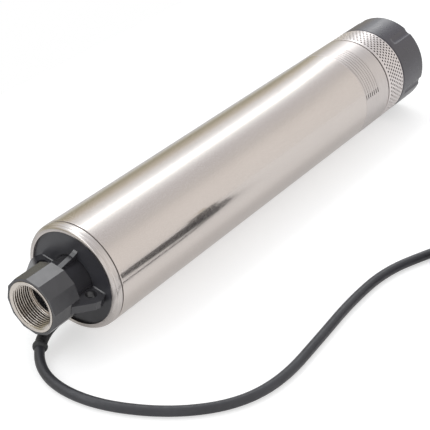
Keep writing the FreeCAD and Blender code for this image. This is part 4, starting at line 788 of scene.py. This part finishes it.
def woven_strap():
    """Webbing with slanting threads."""
    made = Shader("woven_strap", (0.03, 0.03, 0.03), metallic=0.0, roughness=0.85)
    wave = made.node("ShaderNodeTexWave", wave_type="BANDS", bands_direction="DIAGONAL", Scale=900)
    made.feed(wave.inputs["Vector"], made.place)
    threads = wave.outputs["Fac"]
    made.put("Base Color", made.mix(threads, (0.02, 0.02, 0.02), (0.055, 0.055, 0.055)))
    made.bump([(threads, 0.0002)])
    return made.material


def cable_jacket():
    """Smooth rubber, slightly uneven along its length."""
    made = Shader("cable_jacket", (0.035, 0.035, 0.041), metallic=0.0, roughness=0.42)
    clouds = made.between(made.noise(50, 4), 0, 1)
    made.put("Base Color", made.mix(clouds, (0.030, 0.030, 0.035), (0.041, 0.041, 0.047)))
    made.put("Roughness", made.between(made.noise(240, 4), 0.34, 0.5))
    made.bump([(made.noise(700, 3), 0.00003), (made.noise(90, 2), 0.0001)])
    return made.material


# One finish for each material slot of the record.
finish = {
    "steel_mirror": polished_steel(),
    "steel_brushed": brushed_steel("brushed_steel", (0.62, 0.57, 0.535), 0.24, 0.34),
    "steel_insert": threaded_steel(),
    "black_plastic": moulded_plastic("head_plastic", (0.033, 0.0322, 0.037), 0.17, 0.22, shine=0.8),
    "cap_plastic": moulded_plastic("cap_plastic", (0.022, 0.0183, 0.0290), 0.27, 0.33,
                                   shine=0.9, flow=0.00004),
    "inner_plastic": moulded_plastic("inner_plastic", (0.55, 0.54, 0.50), 0.45, 0.6, edge=0.0006),
    "rubber_black": moulded_plastic("black_rubber", (0.022, 0.022, 0.024), 0.5, 0.66,
                                    tint=0.2, grain=0.00002),
    "cable_rubber": cable_jacket(),
    "lead_copper": moulded_plastic("lead_sheath", (0.30, 0.14, 0.06), 0.4, 0.5),
    "core_steel": brushed_steel("core_steel", (0.30, 0.30, 0.31), 0.35, 0.5,
                                lines=(40, 1, 1), depth=0.00002),
    "windings": brushed_steel("copper_windings", (0.55, 0.24, 0.10), 0.28, 0.4,
                              lines=(2, 20, 20), depth=0.00005),
    "aluminium_cast": brushed_steel("cast_aluminium", (0.62, 0.62, 0.64), 0.4, 0.55,
                                    lines=(4, 4, 4), depth=0.00002),
    "bearing_steel": brushed_steel("bearing_steel", (0.66, 0.66, 0.68), 0.08, 0.14,
                                   lines=(4, 1, 1), depth=0.000001),
    "shaft_steel": brushed_steel("shaft_steel", (0.56, 0.56, 0.57), 0.16, 0.26, lines=(20, 1, 1)),
    "seal_face": brushed_steel("seal_face", (0.10, 0.10, 0.11), 0.2, 0.3,
                               lines=(4, 4, 4), depth=0.000002),
    "strap": woven_strap(),
    "pin_brass": brushed_steel("pin_plating", (0.70, 0.66, 0.52), 0.16, 0.24,
                               lines=(2, 2, 12), depth=0.000002),
}

# Pieces whose finish differs from the one of their slot.
own_finish = {
    "perforated_ring": brushed_steel("strainer_steel", (0.72, 0.67, 0.655), 0.26, 0.36),
    "slotted_sleeve": brushed_steel("sleeve_steel", (0.61, 0.565, 0.545), 0.30, 0.38,
                                    lines=(40, 1, 1), depth=0.000003),
    "lip_ring": brushed_steel("ring_steel", (0.62, 0.575, 0.55), 0.2, 0.28,
                              lines=(12, 1, 1), depth=0.000003),
    # Painted shade: the dark colour of the ring in the seam stands in for the gap's shadow.
    "seam_shade_ring": moulded_plastic("painted_seam_shade", (0.11, 0.098, 0.092), 0.5, 0.6),
    "strainer_core": moulded_plastic("core_plastic", (0.075, 0.068, 0.066), 0.4, 0.5),
    "head_plate": moulded_plastic("plate_plastic", (0.040, 0.040, 0.047), 0.28, 0.34, shine=0.75),
}


def dress(piece, slot):
    """Gives a piece the finish of its slot, or its own finish where it has one."""
    piece.data.materials.clear()
    piece.data.materials.append(own_finish.get(piece.name, finish[slot]))


for row in frame["record"]["subparts"]:
    node = nodes[row["node"]]
    chosen = own_finish.get(row["node"], finish[row["material_slot"]])
    if not node.material_slots:
        node.data.materials.append(chosen)
    for material_slot in node.material_slots:
        material_slot.material = chosen

for piece, slot, body, replaced in (
    (cable, "cable_rubber", "pump", ("power_cable", "cable_coil")),
    (relief, "rubber_black", "pump", ("cable_relief",)),
    (tie, "strap", "pump", ("coil_tie",)),
    (buckle, "black_plastic", "pump", ()),
    (insert, "steel_insert", "pump", ("thread_insert",)),
    (spring, "shaft_steel", "pump", ("valve_spring",)),
    (mouth_liner, "black_plastic", "pump", ()),
    (lug_fillets, "black_plastic", "pump", ()),
    (lip_ring, "steel_brushed", "pump", ("head_ring",)),
    (seam_shade_ring, "rubber_black", "pump", ()),
    (mirror_tube, "steel_mirror", "pump", ("outer_tube",)),
    (sleeve, "steel_brushed", "pump", ("intake_sleeve",)),
    (strainer, "steel_brushed", "strainer", ("strainer_ring",)),
    (strainer_core, "black_plastic", "strainer", ()),
    (fluted_cap, "cap_plastic", "cap", ("end_cap",)),
):
    dress(piece, slot)
    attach(piece, body)
    if replaced:
        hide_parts(*replaced)

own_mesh(spring)

tuple(cable_points()[0])


# ---------------------------------------------------------------- floor and light

# Light of the studio by its angle in degrees round the pump's axis: 0 is level on the near side,
# 90 straight up and 180 level on the far side.
STUDIO = [
    (-180, (0.46, 0.45, 0.35)), (-172, (0.63, 0.62, 0.56)), (-164, (0.77, 0.76, 0.73)),
    (-156, (0.82, 0.82, 0.82)), (-148, (0.84, 0.84, 0.85)), (-140, (0.92, 0.92, 0.92)),
    (-20, (0.95, 0.94, 0.93)), (34, (0.96, 0.94, 0.92)), (46, (0.91, 0.89, 0.87)),
    (58, (0.79, 0.78, 0.77)), (72, (0.765, 0.76, 0.77)), (84, (0.78, 0.78, 0.80)),
    (92, (0.89, 0.90, 0.93)), (96, (0.99, 1.01, 1.04)), (100, (1.10, 1.14, 1.17)),
    (104, (1.27, 1.34, 1.37)), (108, (1.50, 1.56, 1.60)), (112, (2.6, 2.6, 2.6)),
    (114, (3.4, 3.4, 3.4)), (120, (3.4, 3.4, 3.4)), (123, (2.2, 2.25, 2.3)),
    (126, (1.45, 1.53, 1.59)), (132, (1.20, 1.26, 1.30)), (140, (0.99, 1.02, 1.04)),
    (148, (0.89, 0.88, 0.86)), (156, (0.71, 0.67, 0.59)), (164, (0.58, 0.55, 0.44)),
    (172, (0.50, 0.46, 0.35)), (176, (0.43, 0.41, 0.31)),
]
SLANT = math.radians(22)                    # turn of the studio beyond the cap's end
SLANT_FROM, SLANT_TO = 0.765, 0.795         # X of the directions between which it turns


def make_floor():
    """Pale floor that keeps the object's shadow and looks white to the camera.

    Metal mirrors it a little whiter too; behind the pump that glow fades out, a painted shade in
    its reflection.
    """
    size, back = 8.0, 0.36
    corners = [(-size, -size, 0), (size, -size, 0), (size, back, 0), (-size, back, 0)]
    floor = add_mesh("floor", corners, [(0, 1, 2, 3)])
    made = Shader("pale_floor", (0.58, 0.58, 0.58), metallic=0.0, roughness=0.9)
    made.put("Specular IOR Level", 0.0)
    clouds = made.between(made.noise(3, 3), 0, 1)
    made.put("Base Color", made.mix(clouds, (0.57, 0.57, 0.57), (0.59, 0.59, 0.59)))
    path = made.node("ShaderNodeLightPath").outputs
    mirrored = made.calc("MAXIMUM", path["Is Transmission Ray"], path["Is Glossy Ray"])
    # Painted shade: in reflections the floor's glow fades out behind the pump.
    reflected_glow_painted_shade = made.between(made.split(made.place)["Y"], 0.55, 0.0, start=0.03, end=0.18)
    seen = made.calc("MAXIMUM", path["Is Camera Ray"], made.calc("MULTIPLY", mirrored, reflected_glow_painted_shade))
    lift = made.node("ShaderNodeEmission", Color=(1, 1, 1, 1))
    made.feed(lift.inputs["Strength"], made.calc("MULTIPLY", seen, 0.54))
    both = made.node("ShaderNodeAddShader")
    made.feed(both.inputs[0], made.surface.outputs[0])
    made.feed(both.inputs[1], lift.outputs[0])
    made.feed(made.tree.nodes["Material Output"].inputs["Surface"], both.outputs[0])
    floor.data.materials.append(made.material)


def make_world():
    """Studio round the object: pale walls, a long soft light overhead and a darker far wall."""
    world = bpy.data.worlds.new("studio")
    bpy.context.scene.world = world
    world.use_nodes = True
    world.node_tree.nodes.clear()
    made = NodeTree(world.node_tree)
    way = made.split(made.node("ShaderNodeTexCoord").outputs["Generated"])
    turn = made.calc("ARCTAN2", way["Z"], made.calc("MULTIPLY", way["Y"], -1))
    slant = made.between(way["X"], 0.0, SLANT, start=SLANT_FROM, end=SLANT_TO)
    level = made.calc("WRAP", made.calc("SUBTRACT", turn, slant), math.pi, -math.pi)
    ramp = made.node("ShaderNodeValToRGB")
    made.feed(ramp.inputs["Fac"], made.between(level, 0, 1, start=-math.pi, end=math.pi))
    ramp.color_ramp.interpolation = "LINEAR"
    elements = ramp.color_ramp.elements
    while len(elements) > 1:
        elements.remove(elements[-1])
    elements[0].position = 0
    elements[0].color = (*STUDIO[0][1], 1)
    for angle, colour in STUDIO[1:]:
        elements.new((angle + 180) / 360).color = (*colour, 1)
    room = made.node("ShaderNodeBackground", Strength=1.0)
    made.feed(room.inputs["Color"], ramp.outputs["Color"])
    white = made.node("ShaderNodeBackground", Color=(1, 1, 1, 1), Strength=1.0)
    choose = made.node("ShaderNodeMixShader")
    made.feed(choose.inputs["Fac"], made.node("ShaderNodeLightPath").outputs["Is Camera Ray"])
    made.feed(choose.inputs[1], room.outputs[0])
    made.feed(choose.inputs[2], white.outputs[0])
    out = made.node("ShaderNodeOutputWorld")
    made.feed(out.inputs["Surface"], choose.outputs[0])


make_floor()
make_world()

bpy.context.scene.view_settings.view_transform = "Standard"
